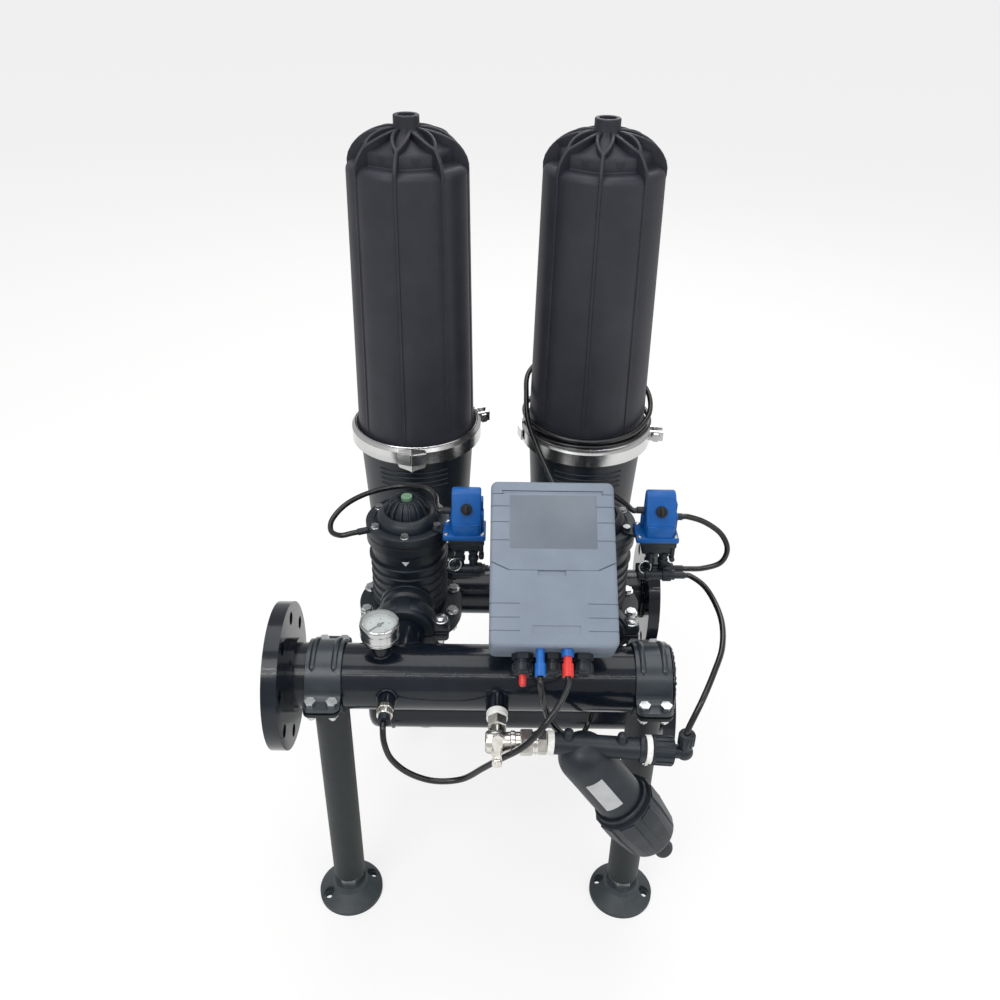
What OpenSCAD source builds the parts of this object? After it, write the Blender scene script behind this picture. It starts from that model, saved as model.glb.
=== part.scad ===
// Two-unit backwash disc filter station, millimetres, +Z up, front towards -Y.

/* [Station layout] */
// Distance between the two filter axes
unit_pitch = 272; // [240:1:320]
// X of the middle between the filters
unit_mid_x = 12; // [-20:1:40]
// Y of the filter axes
filter_y = 227; // [200:1:260]
// Y of the valve axes
valve_y = 24; // [0:1:40]
// Height of the valve port axis
port_z = 480; // [460:1:500]

/* [Manifolds] */
// Outer radius of the 3 inch manifold pipe
pipe_r = 44.45; // [38:0.05:57.2]
// Wall of the manifold pipe
pipe_wall = 4; // [3:0.5:6]
// Y of the inlet manifold axis
inlet_y = -166; // [-190:1:-140]
// Height of the inlet manifold axis
inlet_z = 468; // [440:1:490]
// X of the inlet flange face, negative side
flange_face_x = 290; // [270:1:320]
// X of the closed end of the inlet manifold
inlet_end_x = 244; // [238:1:262]
// Outer radius of a DN80 flange
flange_r = 100; // [90:1:110]
// Flange thickness
flange_t = 20; // [14:1:26]
// Flange bolt circle radius
flange_bolt_r = 80; // [72:0.5:88]
// Flange bolt hole radius
flange_hole_r = 9; // [7:0.5:11]
// Y of the outlet manifold axis
outlet_y = 21; // [0:1:40]
// Height of the outlet manifold axis
outlet_z = 240; // [220:1:260]
// X of the rounded end of the outlet manifold
outlet_end_x = -199; // [-220:1:-180]
// Y of the drain manifold axis
drain_y = 130; // [124:1:136]
// Height of the drain manifold axis
drain_z = 385; // [378:1:390]
// Outer radius of the drain pipe
drain_r = 38.05; // [30:0.05:44]
// X of the drain flange face
drain_face_x = 267; // [255:1:268]
// X of the closed drain end
drain_end_x = -174; // [-190:1:-160]
// Outer radius of a DN65 flange
drain_flange_r = 92.5; // [82.5:0.5:100]

/* [Stubs and couplings] */
// Outer radius of the 2 inch stubs and ports
stub_r = 30.15; // [24:0.05:38]
// Bore radius of the 2 inch stubs and ports
stub_bore_r = 26; // [20:0.5:34]
// Y of the coupling between stub and valve
front_joint_y = -78; // [-84:1:-74]
// Y of the coupling between valve and filter base
rear_joint_y = 122; // [121:1:123]
// Height of the coupling under the filter base
low_joint_z = 370; // [360:1:380]
// Gap between pipe ends inside a coupling
joint_gap = 3; // [2:0.5:5]
// Coupling width
coupling_w = 38; // [32:1:38]
// Coupling outer radius
coupling_r = 43; // [38:0.5:46]
// X distance of the coupling bolts from the axis
coupling_bolt_x = 52; // [48:1:58]
// Bend radius of the outlet elbow
elbow_r = 76; // [60:1:90]

/* [Legs and feet] */
// X of the left front leg
leg_left_x = -221; // [-240:1:-200]
// X of the right front leg
leg_right_x = 216; // [215:1:217]
// Outer radius of the leg pipe
leg_r = 24.15; // [20:0.05:30]
// Leg pipe wall
leg_wall = 3.2; // [2:0.1:5]
// Height of the bottom of a leg
leg_low_z = 50; // [48:1:70]
// Y of the rear legs
rear_leg_y = 238; // [232:1:242]
// Foot radius
foot_r = 50; // [40:1:60]
// Foot height
foot_h = 32; // [24:1:36]
// Radius of the circle of the two anchor holes
foot_bolt_r = 38; // [34:1:44]
// Anchor hole radius
foot_hole_r = 5.5; // [4:0.5:7]
// Levelling stud radius
stud_r = 12; // [8:0.5:14]
// Width of a pipe saddle and strap
saddle_w = 48; // [40:1:56]
// Plate thickness of saddle and strap
saddle_t = 5; // [3:0.5:7]
// Reach of the saddle lugs from the axis
lug_reach = 76; // [70:1:80]

/* [Filter housing] */
// Height of the joint between cover and base
split_z = 641; // [630:1:650]
// Height of the top of the cover
cover_top_z = 1117; // [1080:1:1150]
// Cover radius at its foot
cover_low_r = 91.5; // [86:0.5:93]
// Cover radius at its shoulder
cover_high_r = 85.5; // [80:0.5:90]
// Depth of the cover's shoulder below its top
shoulder_drop = 71; // [60:1:84]
// Radius of the top boss
boss_r = 18; // [14:0.5:22]
// Radius of the recessed core above the shoulder
core_r = 66; // [60:0.5:70]
// Depth of the upper edge of the core below the cover's top
core_drop = 41; // [34:1:46]
// Thickness of the fins over the core
fin_t = 5; // [3:0.5:8]
// Housing wall
housing_wall = 5; // [3.5:0.5:7]
// Radius of the clamped lips
lip_r = 97; // [95:0.5:98]
// Height of each clamped lip
lip_h = 10; // [8:0.5:12]
// Outer radius of the clamp band
clamp_r = 103; // [102:0.5:106]
// Half the height of the clamp band
clamp_half_h = 16; // [14:0.5:18]
// Height of the bottom of the filter base
base_low_z = 428; // [424:1:434]
// Base radius at the bottom
base_low_r = 79; // [74:0.5:84]

/* [Disc pack] */
// Outer radius of the spine tube
spine_r = 24; // [20:0.5:28]
// Height of the spine plate that carries the discs
spine_plate_z = 550; // [520:1:580]
// Outer radius of the discs
disc_r = 58; // [50:0.5:66]
// Top of the disc stack
disc_top_z = 880; // [800:1:920]
// Height of the press plate
press_h = 24; // [18:1:30]
// Lift of the press plate
press_lift = 10; // [5:1:15]

/* [Valves] */
// Lower flange radius
valve_flange_r = 78; // [74:0.5:80]
// Height of the joint between upper and lower valve body
valve_split_z = 437; // [430:1:440]
// Thickness of each lower flange
valve_flange_t = 12; // [10:0.5:13]
// Radius of the lower bolt circle
valve_bolt_r = 70; // [66:0.5:72]
// Body radius
valve_body_r = 54; // [50:0.5:57]
// Height of the bonnet joint
bonnet_z = 585; // [575:1:590]
// Bonnet radius
bonnet_r = 60.5; // [58:0.5:64]
// Bonnet rim thickness
bonnet_t = 14; // [10:0.5:18]
// Radius of the bonnet bolt circle
bonnet_bolt_r = 51; // [48:0.5:54]
// Radius of the bonnet dome
dome_r = 30; // [26:0.5:34]
// Height of the dome above the bonnet rim
dome_h = 35.5; // [32:0.5:40]
// Thickness of the diaphragm
diaphragm_t = 3; // [2:0.5:4]
// Stem radius
stem_r = 6; // [5:0.5:8]
// Indicator radius
indicator_r = 8; // [6:0.5:10]
// Lift of the stem
stem_lift = 10; // [6:1:12]

/* [Solenoids] */
// X of a solenoid from its valve axis
solenoid_dx = 87; // [85:1:92]
// Y of a solenoid from its valve axis
solenoid_dy = -36; // [-42:1:-30]
// Width of the blue coil body
coil_w = 46; // [40:1:52]
// Depth of the solenoid
coil_d = 38; // [32:1:42]
// Height of the underside of the blue body
coil_low_z = 604; // [602:1:608]
// Height of the top of the blue body
coil_top_z = 670; // [660:1:680]
// Width of the black solenoid base
solenoid_base_w = 50; // [46:1:52]

/* [Controller] */
// Width of the case
case_w = 162; // [140:1:180]
// Length of the case along its face
case_l = 222; // [200:1:250]
// Depth of the case
case_d = 58; // [45:1:62]
// X of the middle of the case
case_x = 78; // [60:1:90]
// Y of the lower front edge
case_y = -241; // [-255:1:-230]
// Height of the lower front edge
case_z = 590; // [580:1:600]
// Angle of the face from the floor
case_tilt = 35; // [25:1:45]
// Corner radius of the case
case_corner = 9; // [4:1:14]
// Distance of the flap's lower edge up the face
flap_low = 99; // [90:1:120]
// Distance of the flap's hinge up the face
flap_hinge = 206; // [195:1:212]
// Thickness of the flap
flap_t = 4; // [3:0.5:6]

/* [Gauge and strainer] */
// X of the gauge
gauge_x = -147; // [-160:1:-130]
// Radius of the gauge
gauge_r = 25; // [20:0.5:32]
// Height of the gauge underside
gauge_z = 538; // [532:1:544]
// Depth of the gauge case
gauge_h = 26; // [20:1:32]
// X of the pressure tap on the inlet manifold
tap_x = -137; // [-150:1:-120]
// X of the supply boss and ball valve
supply_x = 9; // [0:1:20]
// Y of the strainer axis
strainer_y = -285; // [-295:1:-280]
// Height of the strainer axis
strainer_z = 470; // [466:1:474]
// X of the left end of the strainer
strainer_x0 = 73; // [70:1:76]
// X of the right end of the strainer
strainer_x1 = 203; // [200:1:206]
// Tilt of the strainer, outlet end down
strainer_tilt = 4.5; // [2:0.5:6]
// X where the branch axis meets the strainer pipe
branch_x = 105; // [102:1:108]
// Lean of the branch from the vertical
branch_lean = 34; // [30:1:38]
// Radius of the strainer body
strainer_r = 33; // [31:0.5:34]
// Radius of the strainer cap
strainer_cap_r = 43; // [41:0.5:46]

/* [Clearances] */
// Gap between parts that move past each other
run_clear = 0.3; // [0.2:0.05:0.6]
// Gap of a guided stem or sleeve
guide_clear = 0.06; // [0.02:0.01:0.1]
// Gap of a bolt in its hole
bolt_clear = 0.25; // [0.15:0.05:0.6]
// Gap of a part seated on a pipe
seat_clear = 0.15; // [0.05:0.05:0.4]

/* [Hidden] */
$fn = 64;
unit_x = [unit_mid_x - unit_pitch / 2, unit_mid_x + unit_pitch / 2];
pipe_bore = pipe_r - pipe_wall;
drain_bore = drain_r - 3.6;
face_x = flange_face_x;
drain_flange_t = 18;
drain_bolt_r = 72.5;
boss_small_r = 11;
outlet_tap_x = 168;
outlet_tap_tilt = 45;
outlet_tap_reach = 64;
outlet_fitting_h = 10;
boss_big_r = 15;
tap_end_y = inlet_y - 60;
tap_nut_l = 28;
supply_end_y = inlet_y - 70;
tape_w = 9;
gauge_stem_r = 7;
gauge_boss_z = gauge_z - 8;
lug_gap = 4;
lug_bolt_x = 14;
lug_bolt_y = 62;
bolt_small_r = 3;
bolt_mid_r = 4;
spine_bore_r = spine_r - 4;
spine_plate_t = 8;
boss_low_z = cover_top_z - 15;
boss_hole_h = 11;
shoulder_z = cover_top_z - shoulder_drop;
core_z = cover_top_z - core_drop;
fin_turn = 8;
fin_proud = 2;
rib_w = fin_t + 0.8;
fin_steps = [0, 15, 30, 45];
branch_steps = [45, 60, 75, 90];
base_floor_z = base_low_z + 6;
press_z = disc_top_z + run_clear;
spring_low_z = press_z + press_h;
spine_cap_z = spring_low_z + 40;
spine_cap_t = 6;
spring_coil_r = 31;
spring_wire_r = 2;
body_top_z = bonnet_z - diaphragm_t / 2;
bonnet_low_z = bonnet_z + diaphragm_t / 2;
bonnet_top_z = bonnet_low_z + bonnet_t;
dome_top_z = bonnet_top_z + dome_h;
bulge_r = bonnet_bolt_r - 6.2;
valve_floor_z = valve_split_z + valve_flange_t;
guide_z = 540;
guide_t = 8;
chamber_r = 44;
seat_hole_r = 24;
drain_stub_r = 24;
lower_port_end_y = valve_y + 48;
bowl_low_z = drain_z - 35;
plate_t = 3;
rear_feet = [for (x = unit_x) [x, rear_leg_y, 0]];
front_feet = [[leg_left_x, inlet_y, 30], [leg_right_x, inlet_y, -17]];
all_feet = concat(front_feet, rear_feet);
cover_dr = cover_high_r - boss_r;
core_foot_z = shoulder_z + 12;
inner_high_r = cover_high_r - housing_wall;
inner_low_r = cover_low_r - housing_wall;
tee_z = 548;
coil_step_z = coil_low_z + 22;
coil_crest_z = coil_top_z - 3;
knob_y = (1 - coil_d / 2) / 2;
knob_z = (coil_step_z + coil_crest_z) / 2;
knob_tilt = atan2(coil_crest_z - coil_step_z, 1 + coil_d / 2);
flap_half = 76;
flap_pin_r = 1.2;
bracket_t = 3;
port_r = 6;
port_h = 34;
port_w = -13;
gland_w = -39;
port_xs = [-17, 17];
gland_xs = [-38, 0, 38];
strand_port_x = 22;
strand_port_l = 190;
branch_dome_z = 27;
branch_thread_z = 138;
cap_low_z = 118;
cap_ring_h = 10;
cap_wide_h = 30;
cap_l = 84;
screen_r = 21;
screen_low_z = branch_dome_z - 8 + 2 * seat_clear;
strainer_l = strainer_x1 - strainer_x0;
nub_xs = [branch_x - strainer_x0 - 8, branch_x - strainer_x0 + 60];
elbow_x = strainer_x1 + 44;
elbow_l = (elbow_x - strainer_x0) / cos(strainer_tilt);
elbow_z = strainer_z - (elbow_x - strainer_x0) * tan(strainer_tilt);
elbow_top_z = strainer_z + 18;
coil_right_x = unit_x[1] + solenoid_dx;
coil_left_x = unit_x[0] + solenoid_dx;
nubs = [[coil_right_x + coil_w / 2, 267, -11, 632], [coil_right_x + 23, 277, -34, 546],
  [coil_right_x + 23, 277, -18, 546], [203, coil_right_x - coil_w / 2, -9, 641],
  [-69, coil_left_x - coil_w / 2, -9, 636], [coil_left_x + 23, -5, -26, tee_z]];
seal_ring_r = 91;
clamp_in_r = 93.5;
clamp_lug = 22;
lug_gap_half = 6;
rib_lean = atan((cover_low_r - cover_high_r) / (shoulder_z - split_z - lip_h));

tube_r = 4;
tube_high_route = [[-137, -254, 470], [-137, -263, 470], [-135, -273, 452], [-126, -278, 428],
  [-104, -280, 405], [-72, -280, 391], [-36, -281, 396], [-8, -292, 430], [8, -300, 452], [20, -304, 465],
  [34, -310, 482], [47, -311, 497], [61, -308, 515], [72, -301, 528], [84, -288, 540], [95, -270, 554],
  [95, -261.4, 559.9]];
tube_low_route = [[61, -261.4, 559.9], [61, -270, 554], [67, -273, 524], [77, -263, 483], [95, -250, 449],
  [113, -234, 426], [124, -200, 390], [136, -150, 346], [148, -100, 310], [158, -66, 304], [168, -38, 299],
  [168, -31.3, 292.3]];
tube_supply_route = [[elbow_x, strainer_y, elbow_top_z], [elbow_x, strainer_y, elbow_top_z + 9],
  [264, -266, 528], [284, -228, 538],
  [302, -186, 542], [312, -136, 542], [311, -92, 542], [302, -56, 544], [286, -36, 546], [277, -34, 546]];
tube_right_route = [[267, -11, 632], [276, -11, 632], [300, -12, 624], [325, -14, 606], [337, -18, 582],
  [330, -20, 559], [306, -19, 548], [286, -18, 546], [277, -18, 546]];
tube_left_route = [[-193.1, -3.9, 593.5], [-201, -7, 593.5], [-218, -8, 590], [-233, 4, 589], [-234, 26, 595],
  [-216, 54, 604], [-184, 80, 608], [-140, 92, 612], [-100, 74, 622], [-84, 36, 632], [-80, 4, 636],
  [-76, -9, 636], [-69, -9, 636]];
tube_link_route = [[203, -9, 641], [196, -9, 641], [182, 16, 642], [142, 58, 640], [84, 58, 626],
  [38, 38, 592], [18, -10, 556], [4, -26, 548], [-5, -26, 548]];
tube_strand_route = [[52, 160, 690], [64, 118, 672], [80, 76, 652], [94, 38, 634], [100, 2, 616],
  [100, -26, 618], [100, -38, 631], [100, -43.5, 639.3]];
coil_r = 99.5;
coil_low = 661.5;
coil_rise = 18;
coil_lift = 36;
coil_turns = [for (k = [0 : 24]) let (a = -530 + 30 * k, t = max(0, k - 10) / 14)
  [unit_x[1] + coil_r * cos(a), filter_y + coil_r * sin(a),
    coil_low + coil_rise * k / 24 + coil_lift * t * (1 - cos(a + 90))]];

function unit(v) = v / norm(v);

// Smooth curve through the route points
function spline(a, b, c, d, t) = 0.5 * (2 * b + (c - a) * t + (2 * a - 5 * b + 4 * c - d) * t * t
  + (3 * b - a - 3 * c + d) * t * t * t);

function smooth(p, n) = concat(
  [for (i = [0 : len(p) - 2], j = [0 : n - 1])
    spline(p[max(i - 1, 0)], p[i], p[i + 1], p[min(i + 2, len(p) - 1)], j / n)],
  [p[len(p) - 1]]);

function tangents(p) = [for (i = [0 : len(p) - 1]) unit(p[min(i + 1, len(p) - 1)] - p[max(i - 1, 0)])];

function sides_of(t, i, last) = i == len(t) ? [] :
  let (side = unit(last - t[i] * (last * t[i])))
  concat([side], sides_of(t, i + 1, side));

// Round bar along a path of points
module sweep(path, r, n) {
  t = tangents(path);
  s = sides_of(t, 0, cross(t[0], [0.31, 0.87, 0.39]));
  rings = len(path);
  points = [for (i = [0 : rings - 1], k = [0 : n - 1])
    path[i] + r * (cos(360 * k / n) * s[i] + sin(360 * k / n) * cross(t[i], s[i]))];
  walls = [for (i = [0 : rings - 2], k = [0 : n - 1])
    [i * n + k, (i + 1) * n + k, (i + 1) * n + (k + 1) % n, i * n + (k + 1) % n]];
  polyhedron(points, concat([[for (k = [0 : n - 1]) k]],
    [[for (k = [n - 1 : -1 : 0]) (rings - 1) * n + k]], walls));
}

module tube(route) {
  color("#101113")
    sweep(smooth(route, 3), tube_r, 10);
}

module along_x(x0, x1, r) {
  translate([x0, 0, 0])
    rotate([0, 90, 0])
      cylinder(r = r, h = x1 - x0);
}

module along_y(y0, y1, r) {
  translate([0, y0, 0])
    rotate([-90, 0, 0])
      cylinder(r = r, h = y1 - y0);
}

module hex(across, h) {
  cylinder(d = across / cos(30), h = h, $fn = 6);
}

// Bolt with its head on z1 and its nut under z0
module bolt_set(r, z0, z1) {
  translate([0, 0, z0 - 3 * r])
    cylinder(r = r, h = z1 - z0 + 3 * r, $fn = 24);
  translate([0, 0, z1])
    hex(3.3 * r, 1.5 * r);
  translate([0, 0, z0 - 1.7 * r])
    hex(3.3 * r, 1.7 * r);
}

// Screw from z0 up to its head on z1
module screw(r, z0, z1) {
  translate([0, 0, z0])
    cylinder(r = r, h = z1 - z0, $fn = 24);
  translate([0, 0, z1])
    hex(3.3 * r, 1.5 * r);
}

module flange_holes(x, count, ring_r, r, t) {
  for (i = [0 : count - 1])
    rotate([360 / count * (i + 0.5), 0, 0])
      translate([0, 0, ring_r])
        along_x(x - 1, x + t + 1, r, $fn = 32);
}

module inlet_manifold() {
  color("#1f2126")
    difference() {
      union() {
        translate([0, inlet_y, inlet_z]) {
          along_x(-face_x, -face_x + flange_t, flange_r);
          along_x(-face_x, -face_x + flange_t + 9, pipe_r + 6);
          along_x(-face_x, inlet_end_x, pipe_r);
        }
        for (x = unit_x)
          translate([x, 0, port_z])
            along_y(inlet_y, front_joint_y - joint_gap / 2, stub_r);
        translate([gauge_x, inlet_y, inlet_z])
          cylinder(r = boss_small_r, h = gauge_boss_z - inlet_z);
        translate([tap_x, 0, strainer_z])
          along_y(tap_end_y, inlet_y, boss_small_r);
        translate([supply_x, 0, strainer_z])
          along_y(supply_end_y, inlet_y, boss_big_r);
      }
      translate([0, inlet_y, inlet_z]) {
        along_x(-face_x - 1, inlet_end_x - 6, pipe_bore);
        flange_holes(-face_x, 8, flange_bolt_r, flange_hole_r, flange_t);
      }
      for (x = unit_x)
        translate([x, 0, port_z])
          along_y(inlet_y, front_joint_y, stub_bore_r);
      translate([gauge_x, inlet_y, inlet_z])
        cylinder(r = gauge_stem_r - 1, h = gauge_boss_z);
      translate([tap_x, 0, strainer_z])
        along_y(tap_end_y - 1, inlet_y, boss_small_r - 6);
      translate([supply_x, 0, strainer_z])
        along_y(supply_end_y - 1, inlet_y, boss_big_r - 6);
    }
}

module riser(r, top_z) {
  translate([0, 0, outlet_z])
    along_y(outlet_y, filter_y - elbow_r, r);
  translate([0, filter_y - elbow_r, outlet_z + elbow_r])
    rotate([-90, 0, 90])
      rotate_extrude(angle = 90)
        translate([elbow_r, 0])
          circle(r = r);
  translate([0, filter_y, outlet_z + elbow_r])
    cylinder(r = r, h = top_z - outlet_z - elbow_r);
}

module outlet_manifold() {
  riser_top = low_joint_z - joint_gap / 2;
  color("#1f2126")
    difference() {
      union() {
        translate([0, outlet_y, outlet_z]) {
          along_x(face_x - flange_t, face_x, flange_r);
          along_x(face_x - flange_t - 9, face_x, pipe_r + 6);
          along_x(outlet_end_x + pipe_r, face_x, pipe_r);
          translate([outlet_end_x + pipe_r, 0, 0])
            sphere(r = pipe_r);
        }
        for (x = unit_x)
          translate([x, 0, 0])
            riser(stub_r, riser_top);
        outlet_tap(0, outlet_tap_reach, boss_small_r);
      }
      translate([0, outlet_y, outlet_z]) {
        along_x(outlet_end_x + pipe_r, face_x + 1, pipe_bore);
        translate([outlet_end_x + pipe_r, 0, 0])
          sphere(r = pipe_bore);
        flange_holes(face_x - flange_t, 8, flange_bolt_r, flange_hole_r, flange_t);
      }
      for (x = unit_x)
        translate([x, 0, 0])
          riser(stub_bore_r, riser_top + 1);
      outlet_tap(0, outlet_tap_reach + 1, boss_small_r - 6);
    }
}

module outlet_tap(from, to, r) {
  translate([outlet_tap_x, outlet_y, outlet_z])
    rotate([-outlet_tap_tilt, 0, 0])
      along_y(-to, -from, r);
}

module drain_manifold() {
  color("#1f2126")
    difference() {
      union() {
        translate([0, drain_y, drain_z]) {
          along_x(drain_end_x, drain_face_x, drain_r);
          along_x(drain_face_x - drain_flange_t, drain_face_x, drain_flange_r);
        }
        for (x = unit_x)
          translate([x, 0, drain_z])
            along_y(lower_port_end_y - 14, drain_y, drain_stub_r);
      }
      translate([0, drain_y, drain_z]) {
        along_x(drain_end_x + 5, drain_face_x + 1, drain_bore);
        flange_holes(drain_face_x - drain_flange_t, 4, drain_bolt_r, flange_hole_r, drain_flange_t);
      }
      for (x = unit_x)
        translate([x, 0, drain_z])
          along_y(lower_port_end_y - 15, drain_y, drain_stub_r - 4);
    }
}

// Half ring on the manifold pipe with a bolted lug on each side
module saddle_half(bead) {
  r_in = pipe_r + seat_clear;
  difference() {
    union() {
      along_x(-saddle_w / 2, saddle_w / 2, r_in + saddle_t);
      for (x = [-saddle_w / 4, saddle_w / 4])
        along_x(x - 5, x + 5, r_in + saddle_t + bead);
      translate([-saddle_w / 2, -lug_reach, 0])
        cube([saddle_w, 2 * lug_reach, lug_gap / 2 + saddle_t]);
    }
    along_x(-saddle_w, saddle_w, r_in);
    translate([-saddle_w, -2 * lug_reach, -2 * lug_reach + lug_gap / 2])
      cube([2 * saddle_w, 4 * lug_reach, 2 * lug_reach]);
    for (x = [-lug_bolt_x, lug_bolt_x], y = [-lug_bolt_y, lug_bolt_y])
      translate([x, y, 0])
        cylinder(r = bolt_mid_r + bolt_clear, h = 3 * saddle_t, $fn = 24);
  }
}

module leg_pipe(top_z) {
  difference() {
    translate([0, 0, leg_low_z])
      cylinder(r = leg_r, h = top_z - leg_low_z);
    translate([0, 0, leg_low_z + 8])
      cylinder(r = leg_r - leg_wall, h = top_z);
    translate([0, 0, leg_low_z - 1])
      cylinder(r = stud_r + seat_clear, h = 10);
  }
}

module front_legs() {
  color("#3a3f42")
    for (f = front_feet)
      translate([f[0], f[1], 0]) {
        difference() {
          leg_pipe(inlet_z);
          translate([0, 0, inlet_z])
            along_x(-saddle_w, saddle_w, pipe_r + saddle_t / 2);
        }
        translate([0, 0, inlet_z])
          mirror([0, 0, 1])
            saddle_half(0);
      }
}

module rear_legs() {
  color("#3a3f42")
    for (f = rear_feet)
      translate([f[0], 0, 0])
        difference() {
          translate([0, f[1], 0])
            leg_pipe(outlet_z + elbow_r);
          riser(stub_r + seat_clear, low_joint_z);
        }
}

module saddle_straps() {
  color("#26292c")
    for (f = front_feet)
      translate([f[0], f[1], inlet_z])
        saddle_half(2.5);
}

module saddle_bolts() {
  color("#c9ccd0")
    for (f = front_feet, x = [-lug_bolt_x, lug_bolt_x], y = [-lug_bolt_y, lug_bolt_y])
      translate([f[0] + x, f[1] + y, inlet_z])
        bolt_set(bolt_mid_r, -lug_gap / 2 - saddle_t, lug_gap / 2 + saddle_t);
}

module feet() {
  color("#454b4d")
    for (f = all_feet)
      translate([f[0], f[1], 0])
        rotate([0, 0, f[2]])
          difference() {
            rotate_extrude()
              polygon([[0, 0], [foot_r, 0], [foot_r, 7], [foot_r - 3, 9], [28, 23], [25, foot_h],
                [0, foot_h]]);
            translate([0, 0, foot_h - 20])
              cylinder(r = stud_r + seat_clear, h = 30);
            for (x = [-foot_bolt_r, foot_bolt_r])
              translate([x, 0, -1]) {
                cylinder(r = foot_hole_r, h = foot_h, $fn = 32);
                translate([0, 0, 10])
                  cylinder(r = foot_hole_r + 3.5, h = foot_h, $fn = 32);
              }
          }
}

module levelling_studs() {
  color("#bfc3c6")
    for (f = all_feet)
      translate([f[0], f[1], 0]) {
        translate([0, 0, foot_h - 20])
          cylinder(r = stud_r, h = leg_low_z - foot_h + 42);
        translate([0, 0, foot_h])
          hex(36, leg_low_z - foot_h);
      }
}

module at_unit(i, y) {
  translate([unit_x[i], y, 0])
    children();
}

// Dome line that the fins follow, as radius and height
function dome_line(t) =
  [boss_r + (cover_dr + fin_proud) * cos(t), shoulder_z + (boss_low_z - shoulder_z) * sin(t)];

module fin_plate(points) {
  rotate([90, 0, 0])
    translate([0, 0, -fin_t / 2])
      linear_extrude(fin_t)
        polygon(points);
}

// Fin that leaves the shoulder and forks to the boss
module cover_fin() {
  fork = dome_line(45);
  in_r = core_r - 2.5;
  fin_plate(concat([[in_r, core_z - 6], [in_r, core_foot_z - 2], [core_r + 8, core_foot_z - 7],
    [cover_high_r - 3, shoulder_z - 6], [cover_high_r + fin_proud, shoulder_z - 6]],
    [for (t = fin_steps) dome_line(t)], [[in_r, fork[1]]]));
  for (side = [-1, 1])
    translate([fork[0] - 0.5, 0, 0])
      rotate([0, 0, 180 + side * fin_turn])
        fin_plate(concat([[0, core_z - 4]],
          [for (t = branch_steps) [(fork[0] - dome_line(t)[0]) / cos(fin_turn), dome_line(t)[1]]],
          [[(fork[0] - boss_r + 8) / cos(fin_turn), boss_low_z],
            [(fork[0] - boss_r + 8) / cos(fin_turn), boss_low_z - 4]]));
}

module filter_cover(i, turn) {
  foot_z = split_z + lip_h;
  color("#2f3035")
    at_unit(i, filter_y)
      difference() {
        union() {
          rotate_extrude()
            polygon([[0, split_z], [lip_r, split_z], [lip_r, foot_z], [cover_low_r, foot_z],
              [cover_high_r, shoulder_z], [cover_high_r - 1.5, shoulder_z + 6],
              [cover_high_r - 5, shoulder_z + 10], [cover_high_r - 11, core_foot_z], [core_r + 1, core_foot_z],
              [core_r, core_z], [boss_r, boss_low_z - 6], [boss_r, cover_top_z], [0, cover_top_z]]);
          for (k = [0 : 7])
            rotate([0, 0, turn + 45 * k]) {
              cover_fin();
              translate([cover_low_r - 2, -rib_w / 2, foot_z + 8])
                rotate([0, -rib_lean, 0])
                  cube([4.5, rib_w, shoulder_z - foot_z - 10]);
            }
        }
        rotate_extrude()
          polygon([[0, split_z - 1], [inner_low_r, split_z - 1], [inner_low_r, foot_z],
            [inner_high_r, shoulder_z - 6], [core_r - housing_wall, shoulder_z + 6],
            [core_r - housing_wall, core_z - 4], [boss_r - 4, boss_low_z - 10], [0, boss_low_z - 10]]);
        translate([0, 0, cover_top_z - boss_hole_h])
          cylinder(r = boss_r - 6, h = boss_hole_h + 1);
      }
}

module filter_cover_left() {
  filter_cover(0, -97.2);
}

module filter_cover_right() {
  filter_cover(1, -99);
}

module filter_base(i) {
  lip_z = split_z - lip_h;
  neck_end = rear_joint_y + joint_gap / 2;
  color("#22262a")
    at_unit(i, 0)
      difference() {
        union() {
          translate([0, filter_y, 0])
            rotate_extrude()
              polygon([[0, base_low_z], [base_low_r, base_low_z], [cover_low_r - 1, lip_z], [lip_r, lip_z],
                [lip_r, split_z], [0, split_z]]);
          translate([0, 0, port_z])
            along_y(neck_end, filter_y - base_low_r + 10, stub_r);
          translate([0, filter_y, low_joint_z + joint_gap / 2])
            cylinder(r = stub_r, h = base_low_z - low_joint_z);
        }
        translate([0, filter_y, 0]) {
          rotate_extrude()
            polygon([[0, base_floor_z], [base_low_r - housing_wall, base_floor_z], [inner_low_r - 1, lip_z],
              [inner_low_r - 1, split_z + 1], [0, split_z + 1]]);
          cylinder(r = spine_bore_r, h = split_z);
          translate([0, 0, low_joint_z])
            cylinder(r = stub_bore_r, h = base_low_z - low_joint_z);
          translate([0, 0, split_z - 4])
            difference() {
              cylinder(r = seal_ring_r + 2.1, h = 10);
              cylinder(r = seal_ring_r - 2.1, h = 10);
            }
        }
        translate([0, 0, port_z])
          along_y(neck_end - 1, filter_y - base_low_r + 20, stub_bore_r);
      }
}

module filter_base_left() {
  filter_base(0);
}

module filter_base_right() {
  filter_base(1);
}

module cover_seals() {
  color("#141414")
    for (i = [0, 1])
      at_unit(i, filter_y)
        translate([0, 0, split_z - 2])
          rotate_extrude()
            translate([seal_ring_r, 0])
              circle(r = 1.95, $fn = 24);
}

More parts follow.
